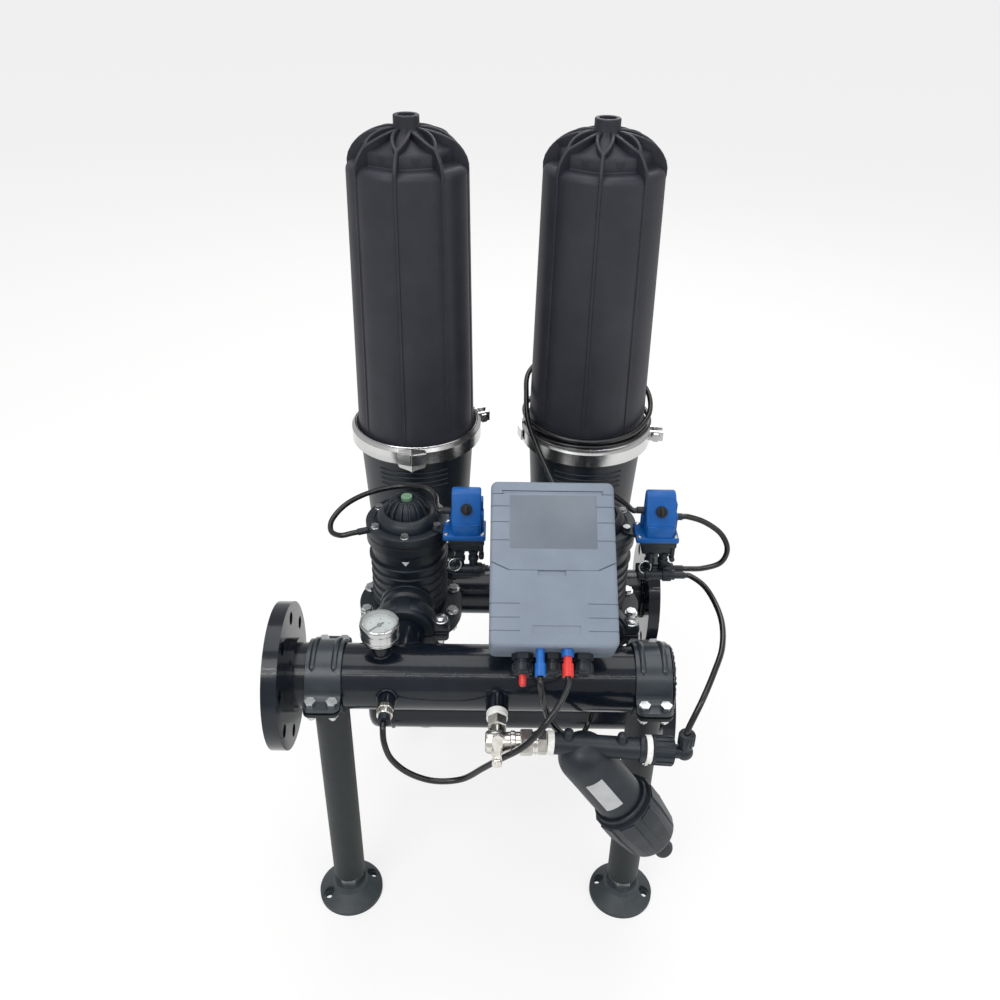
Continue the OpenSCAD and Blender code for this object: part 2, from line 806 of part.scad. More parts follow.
// Band in two halves, with bolt lugs at one split and a link at the other
module cover_clamp(i, link_turn, lug_turn) {
  lip = lip_h + 0.25;
  color("#b5b0a6")
    at_unit(i, filter_y)
      translate([0, 0, split_z])
        difference() {
          union() {
            rotate_extrude()
              polygon([[lip_r + run_clear, -lip], [clamp_in_r, -lip], [clamp_in_r, -clamp_half_h + 3],
                [clamp_in_r + 2.5, -clamp_half_h], [clamp_r, -clamp_half_h + 6], [clamp_r, clamp_half_h - 6],
                [clamp_in_r + 2.5, clamp_half_h], [clamp_in_r, clamp_half_h - 3], [clamp_in_r, lip],
                [lip_r + run_clear, lip]]);
            rotate([0, 0, lug_turn])
              translate([clamp_r - 2, -lug_gap_half - 5, -8])
                cube([clamp_lug + 1, 2 * lug_gap_half + 10, 16]);
          }
          rotate([0, 0, lug_turn])
            translate([clamp_r - 15, -lug_gap_half, -40])
              cube([60, 2 * lug_gap_half, 80]);
          rotate([0, 0, link_turn])
            translate([clamp_r - 15, -2, -40])
              cube([60, 4, 80]);
          rotate([0, 0, lug_turn])
            translate([clamp_r + 9, 0, 0])
              along_y(-40, 40, bolt_mid_r + bolt_clear, $fn = 24);
        }
}

module cover_clamp_left() {
  cover_clamp(0, -90, 25);
}

module cover_clamp_right() {
  cover_clamp(1, 180, -5);
}

module clamp_links() {
  color("#c4bfb4")
    for (c = [[0, -90, 25], [1, 180, -5]])
      at_unit(c[0], filter_y)
        translate([0, 0, split_z]) {
          rotate([0, 0, c[1]])
            translate([clamp_r + 0.4, 0, -9])
              linear_extrude(18)
                polygon([[-1.6, -22], [0.6, -22], [6, -2], [6, 2], [0.6, 22], [-1.6, 22], [0, 4], [0, -4]]);
          rotate([0, 0, c[2]])
            translate([clamp_r + 9, 0, 0])
              rotate([90, 0, 0])
                bolt_set(bolt_mid_r, -lug_gap_half - 5, lug_gap_half + 5);
        }
}

module disc_stacks() {
  color("#8c2f2a")
    for (i = [0, 1])
      at_unit(i, filter_y)
        translate([0, 0, spine_plate_z + spine_plate_t])
          difference() {
            cylinder(r = disc_r, h = disc_top_z - spine_plate_z - spine_plate_t);
            translate([0, 0, -1])
              cylinder(r = spine_r + run_clear, h = disc_top_z);
          }
}

module disc_spines() {
  color("#2a2c2e")
    for (i = [0, 1])
      at_unit(i, filter_y)
        difference() {
          union() {
            translate([0, 0, base_floor_z])
              cylinder(r = spine_r, h = spine_cap_z + spine_cap_t - base_floor_z);
            translate([0, 0, spine_plate_z])
              cylinder(r = disc_r + 4, h = spine_plate_t);
            translate([0, 0, spine_cap_z])
              cylinder(r = spring_coil_r + 5, h = spine_cap_t);
          }
          translate([0, 0, base_floor_z - 1])
            cylinder(r = spine_bore_r, h = spine_cap_z - base_floor_z);
          for (k = [0 : 3])
            translate([0, 0, spine_plate_z + 30])
              rotate([0, 0, 90 * k])
                translate([0, -4, 0])
                  cube([disc_r, 8, disc_top_z - spine_plate_z - 60]);
        }
}

module disc_press(i) {
  color("#3b3d40")
    at_unit(i, filter_y)
      translate([0, 0, press_z])
        difference() {
          cylinder(r = disc_r, h = press_h);
          translate([0, 0, -1])
            cylinder(r = spine_r + guide_clear, h = press_h + 2);
        }
}

module disc_press_left() {
  disc_press(0);
}

module disc_press_right() {
  disc_press(1);
}

module press_spring(i) {
  turns = 4;
  rise = spine_cap_z - spring_low_z - 2 * spring_wire_r - 0.2;
  path = [for (k = [0 : 12 * turns])
    [spring_coil_r * cos(30 * k), spring_coil_r * sin(30 * k), rise * k / (12 * turns)]];
  color("#b9bcc0")
    at_unit(i, filter_y)
      translate([0, 0, spring_low_z + spring_wire_r + 0.1])
        sweep(path, spring_wire_r, 8);
}

module press_spring_left() {
  press_spring(0);
}

module press_spring_right() {
  press_spring(1);
}

module valve_body(i) {
  color("#22262a")
    at_unit(i, 0)
      difference() {
        union() {
          translate([0, valve_y, 0])
            rotate_extrude()
              polygon([[0, valve_split_z], [valve_flange_r, valve_split_z], [valve_flange_r, valve_floor_z],
                [valve_body_r, valve_floor_z], [valve_body_r, body_top_z - 18], [bonnet_r, body_top_z - 12],
                [bonnet_r, body_top_z], [0, body_top_z]]);
          translate([0, 0, port_z]) {
            along_y(front_joint_y + joint_gap / 2, rear_joint_y - joint_gap / 2, stub_r);
            along_y(valve_y - valve_body_r - 2, valve_y + valve_body_r + 2, stub_r + 7);
          }
        }
        translate([0, valve_y, 0]) {
          translate([0, 0, valve_split_z - 1])
            cylinder(r = seat_hole_r, h = valve_flange_t + 2);
          translate([0, 0, valve_floor_z])
            cylinder(r = chamber_r, h = guide_z - valve_floor_z);
          cylinder(r = stem_r + guide_clear, h = body_top_z);
          translate([0, 0, guide_z + guide_t])
            cylinder(r = chamber_r, h = body_top_z);
          ring_holes(8, valve_bolt_r, 22.5, bolt_mid_r + bolt_clear, valve_split_z - 1, valve_flange_t + 2);
          ring_holes(6, bonnet_bolt_r, 30, bolt_small_r + bolt_clear, body_top_z - 16, 17);
        }
        translate([0, 0, port_z])
          along_y(front_joint_y, rear_joint_y, stub_bore_r);
      }
}

module ring_holes(count, ring_r, turn, r, z, h) {
  for (k = [0 : count - 1])
    rotate([0, 0, turn + 360 / count * k])
      translate([ring_r, 0, z])
        cylinder(r = r, h = h, $fn = 24);
}

module valve_body_left() {
  valve_body(0);
}

module valve_body_right() {
  valve_body(1);
}

module valve_lower_bodies() {
  low_flange_z = valve_split_z - valve_flange_t;
  color("#22262a")
    for (i = [0, 1])
      at_unit(i, 0)
        difference() {
          union() {
            translate([0, valve_y, 0])
              rotate_extrude()
                polygon([[0, bowl_low_z], [36, bowl_low_z], [50, bowl_low_z + 14], [50, low_flange_z],
                  [valve_flange_r, low_flange_z], [valve_flange_r, valve_split_z], [0, valve_split_z]]);
            translate([0, 0, drain_z])
              along_y(valve_y, lower_port_end_y, drain_stub_r + 9);
          }
          translate([0, valve_y, 0]) {
            translate([0, 0, bowl_low_z + 6])
              rotate_extrude()
                polygon([[0, 0], [32, 0], [42, 10], [42, 200], [0, 200]]);
            ring_holes(8, valve_bolt_r, 22.5, bolt_mid_r + bolt_clear, low_flange_z - 1,
              valve_flange_t + 2);
          }
          translate([0, 0, drain_z])
            along_y(valve_y, lower_port_end_y + 10, drain_stub_r + seat_clear);
        }
}

module valve_bolts() {
  color("#c9ccd0")
    for (i = [0, 1])
      at_unit(i, valve_y) {
        for (k = [0 : 7])
          rotate([0, 0, 22.5 + 45 * k])
            translate([valve_bolt_r, 0, 0])
              bolt_set(bolt_mid_r, valve_split_z - valve_flange_t, valve_floor_z);
        for (k = [0 : 5])
          rotate([0, 0, 30 + 60 * k])
            translate([bonnet_bolt_r, 0, 0])
              screw(bolt_small_r, body_top_z - 15, bonnet_top_z + (k == 5 ? plate_t : 0));
      }
}

module valve_bonnets() {
  top = bonnet_top_z;
  color("#22262a")
    for (i = [0, 1])
      at_unit(i, valve_y)
        difference() {
          rotate_extrude()
            polygon([[0, bonnet_low_z], [bonnet_r, bonnet_low_z], [bonnet_r, top], [bulge_r, top],
              [bulge_r - 0.8, top + 5], [bulge_r - 4.3, top + 11], [dome_r + 4, top + 14], [dome_r, top + 14],
              [dome_r - 2, top + 20], [dome_r - 7, top + 28], [indicator_r + 7, dome_top_z - 2],
              [indicator_r + 5, dome_top_z], [0, dome_top_z]]);
          rotate_extrude()
            polygon([[0, bonnet_low_z - 1], [chamber_r + 1, bonnet_low_z - 1], [chamber_r + 1, top - 5],
              [20, top - 5], [20, top + 18], [indicator_r + run_clear, top + 22],
              [indicator_r + run_clear, dome_top_z + 1], [0, dome_top_z + 1]]);
          ring_holes(6, bonnet_bolt_r, 30, bolt_small_r + bolt_clear, bonnet_low_z - 1, bonnet_t + 2);
        }
}

module diaphragm(i) {
  color("#151515")
    at_unit(i, valve_y)
      translate([0, 0, body_top_z])
        difference() {
          cylinder(r = bonnet_r, h = diaphragm_t);
          translate([0, 0, -1])
            cylinder(r = stem_r + run_clear, h = diaphragm_t + 2);
          ring_holes(6, bonnet_bolt_r, 30, bolt_small_r + bolt_clear, -1, diaphragm_t + 2);
        }
}

module diaphragm_left() {
  diaphragm(0);
}

module diaphragm_right() {
  diaphragm(1);
}

module valve_stem(i) {
  color("#6f9478")
    at_unit(i, valve_y) {
      translate([0, 0, valve_floor_z + run_clear])
        cylinder(r = seat_hole_r + 8, h = 12);
      translate([0, 0, valve_floor_z + run_clear])
        cylinder(r = stem_r, h = dome_top_z - valve_floor_z - run_clear);
      translate([0, 0, body_top_z - run_clear - 7])
        cylinder(r = chamber_r - 8, h = 7);
      translate([0, 0, bonnet_low_z + run_clear])
        cylinder(r = 2 * stem_r, h = 7);
      translate([0, 0, bonnet_top_z + 24])
        cylinder(r = indicator_r, h = dome_top_z + 2 - bonnet_top_z - 24);
    }
}

module valve_stem_left() {
  valve_stem(0);
}

module valve_stem_right() {
  valve_stem(1);
}

// Half of a grooved coupling around the Z axis, on the +Y side
module coupling_half() {
  difference() {
    union() {
      translate([0, 0, -coupling_w / 2])
        cylinder(r = coupling_r, h = coupling_w);
      translate([-coupling_bolt_x - 9, 1, -11])
        cube([2 * coupling_bolt_x + 18, 13, 22]);
    }
    translate([0, 0, -coupling_w])
      cylinder(r = stub_r + seat_clear, h = 2 * coupling_w);
    translate([0, 0, -10])
      cylinder(r = stub_r + 7, h = 20);
    translate([-2 * coupling_bolt_x, 1 - 2 * coupling_bolt_x, -coupling_w])
      cube([4 * coupling_bolt_x, 2 * coupling_bolt_x, 2 * coupling_w]);
    for (x = [-coupling_bolt_x, coupling_bolt_x])
      translate([x, 0, 0])
        along_y(0, 40, bolt_mid_r + bolt_clear, $fn = 24);
  }
}

module at_joints() {
  for (x = unit_x) {
    translate([x, front_joint_y, port_z])
      rotate([90, 0, 0])
        children();
    translate([x, rear_joint_y, port_z])
      rotate([90, 0, 0])
        children();
    translate([x, filter_y, low_joint_z])
      children();
  }
}

module pipe_couplings() {
  color("#202326")
    at_joints() {
      coupling_half();
    }
  color("#202326")
    at_joints() {
      rotate([0, 0, 180])
        coupling_half();
    }
}

module coupling_bolts() {
  color("#c9ccd0")
    at_joints() {
      for (x = [-coupling_bolt_x, coupling_bolt_x])
        translate([x, 0, 0])
          rotate([-90, 0, 0])
            bolt_set(bolt_mid_r, -14, 14);
    }
}

module coupling_gaskets() {
  color("#111111")
    at_joints() {
      translate([0, 0, -9.7])
        difference() {
          cylinder(r = stub_r + 6.8, h = 19.4);
          translate([0, 0, -1])
            cylinder(r = stub_r + seat_clear, h = 22);
        }
    }
}

module seal_rings() {
  cover_seals();
  coupling_gaskets();
}

module solenoid_coils() {
  color("#1560b5")
    for (i = [0, 1])
      at_unit(i, valve_y)
        translate([solenoid_dx - coil_w / 2, solenoid_dy, 0])
          rotate([90, 0, 90])
            linear_extrude(coil_w)
              polygon([[-coil_d / 2, coil_low_z], [-coil_d / 2, coil_step_z], [1, coil_crest_z],
                [12, coil_top_z], [coil_d / 2, coil_top_z - 7], [coil_d / 2, coil_low_z]]);
}

module solenoid_bases() {
  w = solenoid_base_w;
  color("#1b1d20")
    for (i = [0, 1])
      at_unit(i, valve_y)
        difference() {
          union() {
            translate([solenoid_dx - w / 2, solenoid_dy - coil_d / 2, bonnet_top_z - 22])
              cube([w, coil_d, coil_low_z - bonnet_top_z + 22]);
            translate([38, -34, bonnet_top_z])
              cube([solenoid_dx - w / 2 - 37, 12, plate_t]);
            translate([solenoid_dx, solenoid_dy - 14, tee_z])
              cylinder(r = 6, h = bonnet_top_z - 22 - tee_z);
            translate([solenoid_dx - 23, solenoid_dy - 30, tee_z - 8])
              cube([46, 32, 16]);
          }
          rotate([0, 0, -30])
            translate([bonnet_bolt_r, 0, bonnet_top_z - 1])
              cylinder(r = bolt_small_r + bolt_clear, h = 10, $fn = 24);
          translate([0, 0, bonnet_top_z - 1])
            cylinder(r = bulge_r + 0.4, h = 10);
        }
}

module override_knob(i) {
  color("#131416")
    at_unit(i, valve_y)
      translate([solenoid_dx, solenoid_dy, 0])
        translate([0, knob_y, knob_z])
          rotate([knob_tilt, 0, 0])
            translate([0, 0, run_clear]) {
              cylinder(r = 8, h = 7);
              translate([-2, -8, 7])
                cube([4, 16, 4]);
            }
}

module override_knob_left() {
  override_knob(0);
}

module override_knob_right() {
  override_knob(1);
}

// Places children on the controller face: X across, Y up the face, Z out of it
module on_case() {
  translate([case_x, case_y, case_z])
    rotate([case_tilt, 0, 0])
      children();
}

module rounded_box(w, l, z0, z1, r) {
  translate([0, 0, z0])
    linear_extrude(z1 - z0) {
      translate([-w / 2 + r, 0])
        square([w - 2 * r, l]);
      translate([-w / 2, r])
        square([w, l - 2 * r]);
      for (x = [-w / 2 + r, w / 2 - r], y = [r, l - r])
        translate([x, y])
          circle(r = r);
    }
}

module flap_plate(grow, t) {
  half = flap_half + grow;
  linear_extrude(t)
    polygon([[-half, flap_hinge], [half, flap_hinge], [half, flap_low + 11 - grow],
      [flap_half - 18, flap_low - grow], [18 - flap_half, flap_low - grow], [-half, flap_low + 11 - grow]]);
}

module controller_case() {
  barrel = flap_t / 2;
  color("#949fac")
    on_case()
      difference() {
        rounded_box(case_w, case_l, -case_d, 0, case_corner);
        translate([0, 3, 0])
          rounded_box(case_w - 6, case_l - 6, -case_d + 3, -flap_t - 4, case_corner - 3);
        translate([0, 0, -flap_t - run_clear])
          flap_plate(run_clear, 20);
        translate([0, flap_hinge, 0])
          translate([-flap_half - run_clear, -1, -flap_t - run_clear])
            cube([2 * flap_half + 2 * run_clear, barrel + run_clear + 1, 20]);
        translate([0, flap_hinge, -barrel])
          along_x(-flap_half - 3, flap_half + 3, flap_pin_r + guide_clear, $fn = 24);
        for (x = port_xs)
          translate([x, 10, port_w])
            rotate([90, 0, 0])
              cylinder(r = port_r - 3, h = 20, $fn = 24);
      }
}

module controller_flap() {
  barrel = flap_t / 2;
  color("#949fac")
    on_case() {
      translate([0, 0, -flap_t])
        flap_plate(0, flap_t);
      translate([0, flap_hinge, -barrel]) {
        along_x(-flap_half, flap_half, barrel);
        along_x(-flap_half - 2.5, flap_half + 2.5, flap_pin_r, $fn = 24);
      }
    }
}

module controller_bracket() {
  r_in = pipe_r + seat_clear;
  back = -case_d - bracket_t;
  color("#1d2022") {
    difference() {
      union() {
        on_case()
          translate([-60, 24, back])
            cube([120, 120, bracket_t]);
        translate([case_x - 25, inlet_y - 3, inlet_z + r_in])
          cube([50, 6, 60]);
        translate([case_x - 25, inlet_y, inlet_z])
          along_x(0, 50, r_in + 4);
      }
      on_case()
        translate([-100, -100, back + bracket_t])
          cube([200, 400, 100]);
      translate([case_x - 100, inlet_y, inlet_z])
        along_x(0, 200, r_in);
      translate([case_x - 100, inlet_y - 100, inlet_z - 100])
        cube([200, 200, 100 + r_in - 10]);
    }
  }
}

module cable_glands() {
  color("#24272a")
    on_case() {
      for (x = gland_xs)
        translate([x, 0, gland_w])
          rotate([90, 0, 0]) {
            hex(24, 8);
            cylinder(r = 10, h = 12);
            translate([0, 0, 12])
              hex(22, 14);
          }
      translate([strand_port_x, strand_port_l, -case_d])
        rotate([180, 0, 0])
          cylinder(r = 7, h = 15);
    }
}

module pressure_port() {
  on_case()
    translate([0, 0, port_w])
      rotate([90, 0, 0])
        difference() {
          union() {
            cylinder(r = port_r - 0.5, h = 22);
            translate([0, 0, 18])
              cylinder(r = port_r + 1, h = port_h - 18);
          }
          translate([0, 0, -1])
            cylinder(r = 2.5, h = 40, $fn = 24);
        }
}

module port_blue() {
  color("#0f5fae")
    translate([port_xs[0], 0, 0])
      pressure_port();
}

module port_red() {
  color("#d8332e")
    translate([port_xs[1], 0, 0])
      pressure_port();
}

module gauge_case() {
  color("#b9bdc0")
    translate([gauge_x, inlet_y, 0]) {
      difference() {
        union() {
          translate([0, 0, gauge_z])
            cylinder(r = gauge_r, h = gauge_h);
          translate([0, 0, gauge_boss_z])
            hex(17, gauge_z - gauge_boss_z);
        }
        translate([0, 0, gauge_z + gauge_h - 7])
          cylinder(r = gauge_r - 2, h = 10);
      }
      translate([0, 0, gauge_z + gauge_h - 8])
        cylinder(r = 1, h = 3.4, $fn = 24);
    }
}

module gauge_needle() {
  color("#111111")
    translate([gauge_x, inlet_y, gauge_z + gauge_h - 7 + run_clear])
      rotate([0, 0, 225])
        difference() {
          union() {
            cylinder(r = 3, h = 2, $fn = 32);
            translate([0, -0.9, 0.6])
              cube([17, 1.8, 0.8]);
            translate([-7, -1.3, 0.6])
              cube([7, 2.6, 0.8]);
          }
          translate([0, 0, -1])
            cylinder(r = 1 + guide_clear, h = 5, $fn = 24);
        }
}

module gauge_lens() {
  color("#dfe8ea")
    translate([gauge_x, inlet_y, gauge_z + gauge_h - 3])
      cylinder(r = gauge_r - 2 - seat_clear, h = 2.5);
}

// Places children on the tilted strainer, +X along its pipe from the inlet end
module on_strainer() {
  translate([strainer_x0, strainer_y, strainer_z])
    rotate([0, strainer_tilt, 0])
      children();
}

// Places children on the strainer branch, +Z down its axis
module on_branch() {
  on_strainer()
    translate([branch_x - strainer_x0, 0, 0])
      rotate([0, 180 - branch_lean - strainer_tilt, 0])
        children();
}

module strainer_body() {
  color("#1a1b1d")
    difference() {
      union() {
        on_strainer() {
          along_x(-4, strainer_l, 14);
          along_x(strainer_l - 14, strainer_l - 6, 17.5);
          for (x = nub_xs)
            translate([x, 0, 0])
              cylinder(r = 6.5, h = 24);
        }
        on_branch()
          translate([0, 0, branch_dome_z]) {
            sphere(r = strainer_r);
            cylinder(r = strainer_r, h = branch_thread_z - branch_dome_z);
          }
      }
      on_strainer()
        along_x(-6, strainer_l + 1, 9.5);
      on_branch()
        translate([0, 0, branch_dome_z - 8])
          cylinder(r = strainer_r - 4, h = 200);
      translate([strainer_x0 - 30, strainer_y - 30, strainer_z - 30])
        cube([30, 60, 60]);
    }
}

module strainer_cap() {
  color("#1a1b1d")
    on_branch()
      difference() {
        union() {
          translate([0, 0, cap_low_z])
            cylinder(r = strainer_r + 4.5, h = cap_l);
          translate([0, 0, cap_low_z + cap_ring_h])
            cylinder(r = strainer_cap_r, h = cap_wide_h);
          translate([0, 0, cap_low_z + cap_ring_h + cap_wide_h])
            cylinder(r1 = strainer_cap_r, r2 = strainer_r + 4.5, h = cap_l - cap_ring_h - cap_wide_h);
          translate([0, 0, cap_low_z + cap_l])
            cylinder(r1 = strainer_r + 4.5, r2 = 24, h = 15);
          translate([0, 0, cap_low_z + cap_l + 15])
            cylinder(r = 10, h = 6);
          translate([0, 0, cap_low_z + cap_l + 21])
            cylinder(r = 12, h = 26);
        }
        translate([0, 0, cap_low_z - 1])
          cylinder(r = strainer_r + seat_clear, h = branch_thread_z - cap_low_z + 1);
        translate([0, 0, cap_low_z])
          cylinder(r = strainer_r - 4, h = cap_l - 4);
      }
}

module strainer_screen() {
  color("#c0372f")
    on_branch()
      translate([0, 0, screen_low_z])
        difference() {
          cylinder(r = screen_r, h = cap_low_z + cap_l - 4 - screen_low_z);
          translate([0, 0, -1])
            cylinder(r = screen_r - 1.5, h = 300);
        }
}

module ball_valve() {
  color("#b8b2a4")
    difference() {
      union() {
        translate([supply_x, 0, strainer_z])
          along_y(strainer_y, supply_end_y, 10);
        translate([0, strainer_y, strainer_z]) {
          along_x(supply_x - 13, supply_x + 30, 14);
          translate([supply_x + 30, 0, 0])
            rotate([0, 90, 0])
              hex(30, strainer_x0 - supply_x - 30);
        }
        translate([supply_x, 0, strainer_z])
          along_y(strainer_y - 20, strainer_y, 7);
      }
      translate([supply_x, 0, strainer_z]) {
        along_y(strainer_y, supply_end_y + 1, 6);
        along_y(strainer_y - 21, strainer_y, 3 + guide_clear, $fn = 24);
      }
      translate([0, strainer_y, strainer_z]) {
        along_x(supply_x, strainer_x0 + 1, 6);
        translate([supply_x, 0, 0])
          sphere(r = 9 + run_clear);
      }
    }
}

module valve_lever() {
  color("#9aa0a4")
    translate([supply_x, strainer_y, strainer_z]) {
      difference() {
        sphere(r = 9);
        along_y(0, 20, 5);
        along_x(0, 20, 5);
      }
      along_y(-36, -7, 3, $fn = 24);
      translate([-6, -33, -46])
        cube([12, 3, 54]);
    }
}

module tube_fittings() {
  color("#17181a") {
    translate([tap_x, 0, strainer_z])
      along_y(tap_end_y - tap_nut_l, tap_end_y, 8);
    outlet_tap(outlet_tap_reach, outlet_tap_reach + outlet_fitting_h, 8);
    on_strainer() {
      along_x(strainer_l, strainer_l + 29, 18);
      along_x(strainer_l + 29, elbow_l, 9);
    }
    translate([elbow_x, strainer_y, elbow_z])
      sphere(r = 11);
    translate([elbow_x, strainer_y, elbow_z])
      cylinder(r = 8, h = elbow_top_z - elbow_z);
    translate([elbow_x, strainer_y, elbow_top_z - 17])
      cylinder(r = 10, h = 17);
    for (n = nubs)
      translate([0, n[2], n[3]])
        along_x(n[0], n[1], 5);
    at_unit(0, valve_y)
      difference() {
        rotate([0, 0, 202])
          translate([0, 0, bonnet_top_z - 7])
            along_x(bonnet_r - 4, bonnet_r + 14, 5);
        cylinder(r = bonnet_r + seat_clear, h = 1000);
      }
  }
}

module tube_high() {
  tube(tube_high_route);
}

module tube_low() {
  tube(tube_low_route);
}

module tube_supply() {
  tube(tube_supply_route);
}

module tube_right() {
  tube(tube_right_route);
}

module tube_left() {
  tube(tube_left_route);
}

module tube_link() {
  tube(tube_link_route);
}

module tube_stowed() {
  color("#101113")
    sweep(smooth(concat(coil_turns, tube_strand_route), 2), tube_r, 8);
}

inlet_manifold();
outlet_manifold();
drain_manifold();
front_legs();
rear_legs();
saddle_straps();
saddle_bolts();
feet();
levelling_studs();
filter_cover_left();
filter_cover_right();
filter_base_left();
filter_base_right();
cover_clamp_left();
cover_clamp_right();
clamp_links();
seal_rings();
disc_stacks();
disc_spines();
disc_press_left();
disc_press_right();
press_spring_left();
press_spring_right();
valve_body_left();
valve_body_right();
valve_lower_bodies();
valve_bolts();
valve_bonnets();
diaphragm_left();
diaphragm_right();
valve_stem_left();
valve_stem_right();
pipe_couplings();
coupling_bolts();
solenoid_coils();
solenoid_bases();
override_knob_left();
override_knob_right();
controller_case();
controller_flap();
controller_bracket();
cable_glands();
port_blue();
port_red();
gauge_case();
gauge_needle();
gauge_lens();
strainer_body();
strainer_cap();
strainer_screen();
ball_valve();
valve_lever();
tube_fittings();
tube_high();
tube_low();
tube_supply();
tube_right();
tube_left();
tube_link();
tube_stowed();
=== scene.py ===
import math
import bpy
import bmesh
from mathutils import Vector, Matrix


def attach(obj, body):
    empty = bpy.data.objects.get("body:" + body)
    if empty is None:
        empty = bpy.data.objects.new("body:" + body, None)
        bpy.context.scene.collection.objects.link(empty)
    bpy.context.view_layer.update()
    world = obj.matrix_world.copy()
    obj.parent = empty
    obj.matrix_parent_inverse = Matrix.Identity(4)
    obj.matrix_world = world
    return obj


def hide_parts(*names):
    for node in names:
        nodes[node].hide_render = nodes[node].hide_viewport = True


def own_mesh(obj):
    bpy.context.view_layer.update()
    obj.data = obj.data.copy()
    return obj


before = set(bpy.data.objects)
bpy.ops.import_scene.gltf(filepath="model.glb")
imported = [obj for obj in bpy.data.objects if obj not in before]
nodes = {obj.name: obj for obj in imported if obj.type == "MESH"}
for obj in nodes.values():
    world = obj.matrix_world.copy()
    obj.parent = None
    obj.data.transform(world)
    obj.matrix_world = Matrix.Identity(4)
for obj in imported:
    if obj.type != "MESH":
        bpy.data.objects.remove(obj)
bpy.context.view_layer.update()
mm = 0.001
sides = ("left", "right")
unitX = (-124, 148)        # axes of the two filters, in mm as all sizes below
filterY, valveY = 227, 24
print("frame loaded:", len(nodes), "nodes")


# camera: fitted to the pipe, flange and cover sizes
camera = {"place": (-0.0019, -1.126, 1.3732), "pitch": 32.75, "yaw": 0.60, "roll": -1.10, "lens": 34.207}
pitch, yaw, roll = (math.radians(camera[k]) for k in ("pitch", "yaw", "roll"))
forward = Vector((math.sin(yaw) * math.cos(pitch), math.cos(yaw) * math.cos(pitch), -math.sin(pitch)))
right = Vector((math.cos(yaw), -math.sin(yaw), 0))
down = forward.cross(right)
camRight = math.cos(roll) * right + math.sin(roll) * down
camDown = -math.sin(roll) * right + math.cos(roll) * down
camData = bpy.data.cameras.new("photoCamera")
camData.lens = camera["lens"]
camData.sensor_width = 36
camObject = bpy.data.objects.new("photoCamera", camData)
camObject.matrix_world = Matrix((
    (camRight.x, -camDown.x, -forward.x, camera["place"][0]),
    (camRight.y, -camDown.y, -forward.y, camera["place"][1]),
    (camRight.z, -camDown.z, -forward.z, camera["place"][2]),
    (0, 0, 0, 1)))
bpy.context.scene.collection.objects.link(camObject)
bpy.context.scene.camera = camObject
bpy.context.scene.view_settings.view_transform = "Standard"


# materials
def linear(hexCode):
    parts = [int(hexCode[i:i + 2], 16) / 255 for i in (0, 2, 4)]
    return tuple(c / 12.92 if c <= 0.04045 else ((c + 0.055) / 1.055) ** 2.4 for c in parts) + (1.0,)


def addNode(tree, kind, values=None, links=None, **settings):
    node = tree.nodes.new(kind)
    for key, value in settings.items():
        setattr(node, key, value)
    for key, value in (values or {}).items():
        node.inputs[key].default_value = value
    for key, source in (links or {}).items():
        tree.links.new(source, node.inputs[key])
    return node


def finish(look):
    # patchMm: size of the colour drift, grainMm and bumpMm: grain of the moulding, paint or plating
    material = bpy.data.materials.new(look["name"])
    material.use_nodes = True
    tree = material.node_tree
    shader = tree.nodes["Principled BSDF"]
    place = addNode(tree, "ShaderNodeTexCoord").outputs["Object"]
    if "stretch" in look:
        place = addNode(tree, "ShaderNodeMapping", {"Scale": look["stretch"]},
                        {"Vector": place}).outputs["Vector"]
    drift = addNode(tree, "ShaderNodeTexNoise", {"Scale": 1000 / look["patchMm"], "Detail": 3.0,
                                                 "Roughness": 0.6},
                    {"Vector": place})
    ramp = addNode(tree, "ShaderNodeValToRGB", None, {"Fac": drift.outputs["Fac"]})
    ramp.color_ramp.elements[0].position, ramp.color_ramp.elements[1].position = 0.3, 0.7
    ramp.color_ramp.elements[0].color = linear(look["colours"][0])
    ramp.color_ramp.elements[1].color = linear(look["colours"][1])
    tree.links.new(ramp.outputs["Color"], shader.inputs["Base Color"])
    grain = addNode(tree, "ShaderNodeTexNoise", {"Scale": 1000 / look["grainMm"], "Detail": 2.0},
                    {"Vector": place})
    rough = addNode(tree, "ShaderNodeMapRange", {"To Min": look["rough"][0], "To Max": look["rough"][1]},
                    {"Value": grain.outputs["Fac"]})
    tree.links.new(rough.outputs["Result"], shader.inputs["Roughness"])
    bump = addNode(tree, "ShaderNodeBump", {"Strength": look.get("bump", 0.3),
                                            "Distance": look["bumpMm"] * mm},
                   {"Height": grain.outputs["Fac"]})
    tree.links.new(bump.outputs["Normal"], shader.inputs["Normal"])
    tree.links.new(bump.outputs["Normal"], shader.inputs["Coat Normal"])
    for key, value in look.get("shader", {}).items():
        shader.inputs[key].default_value = value
    return material


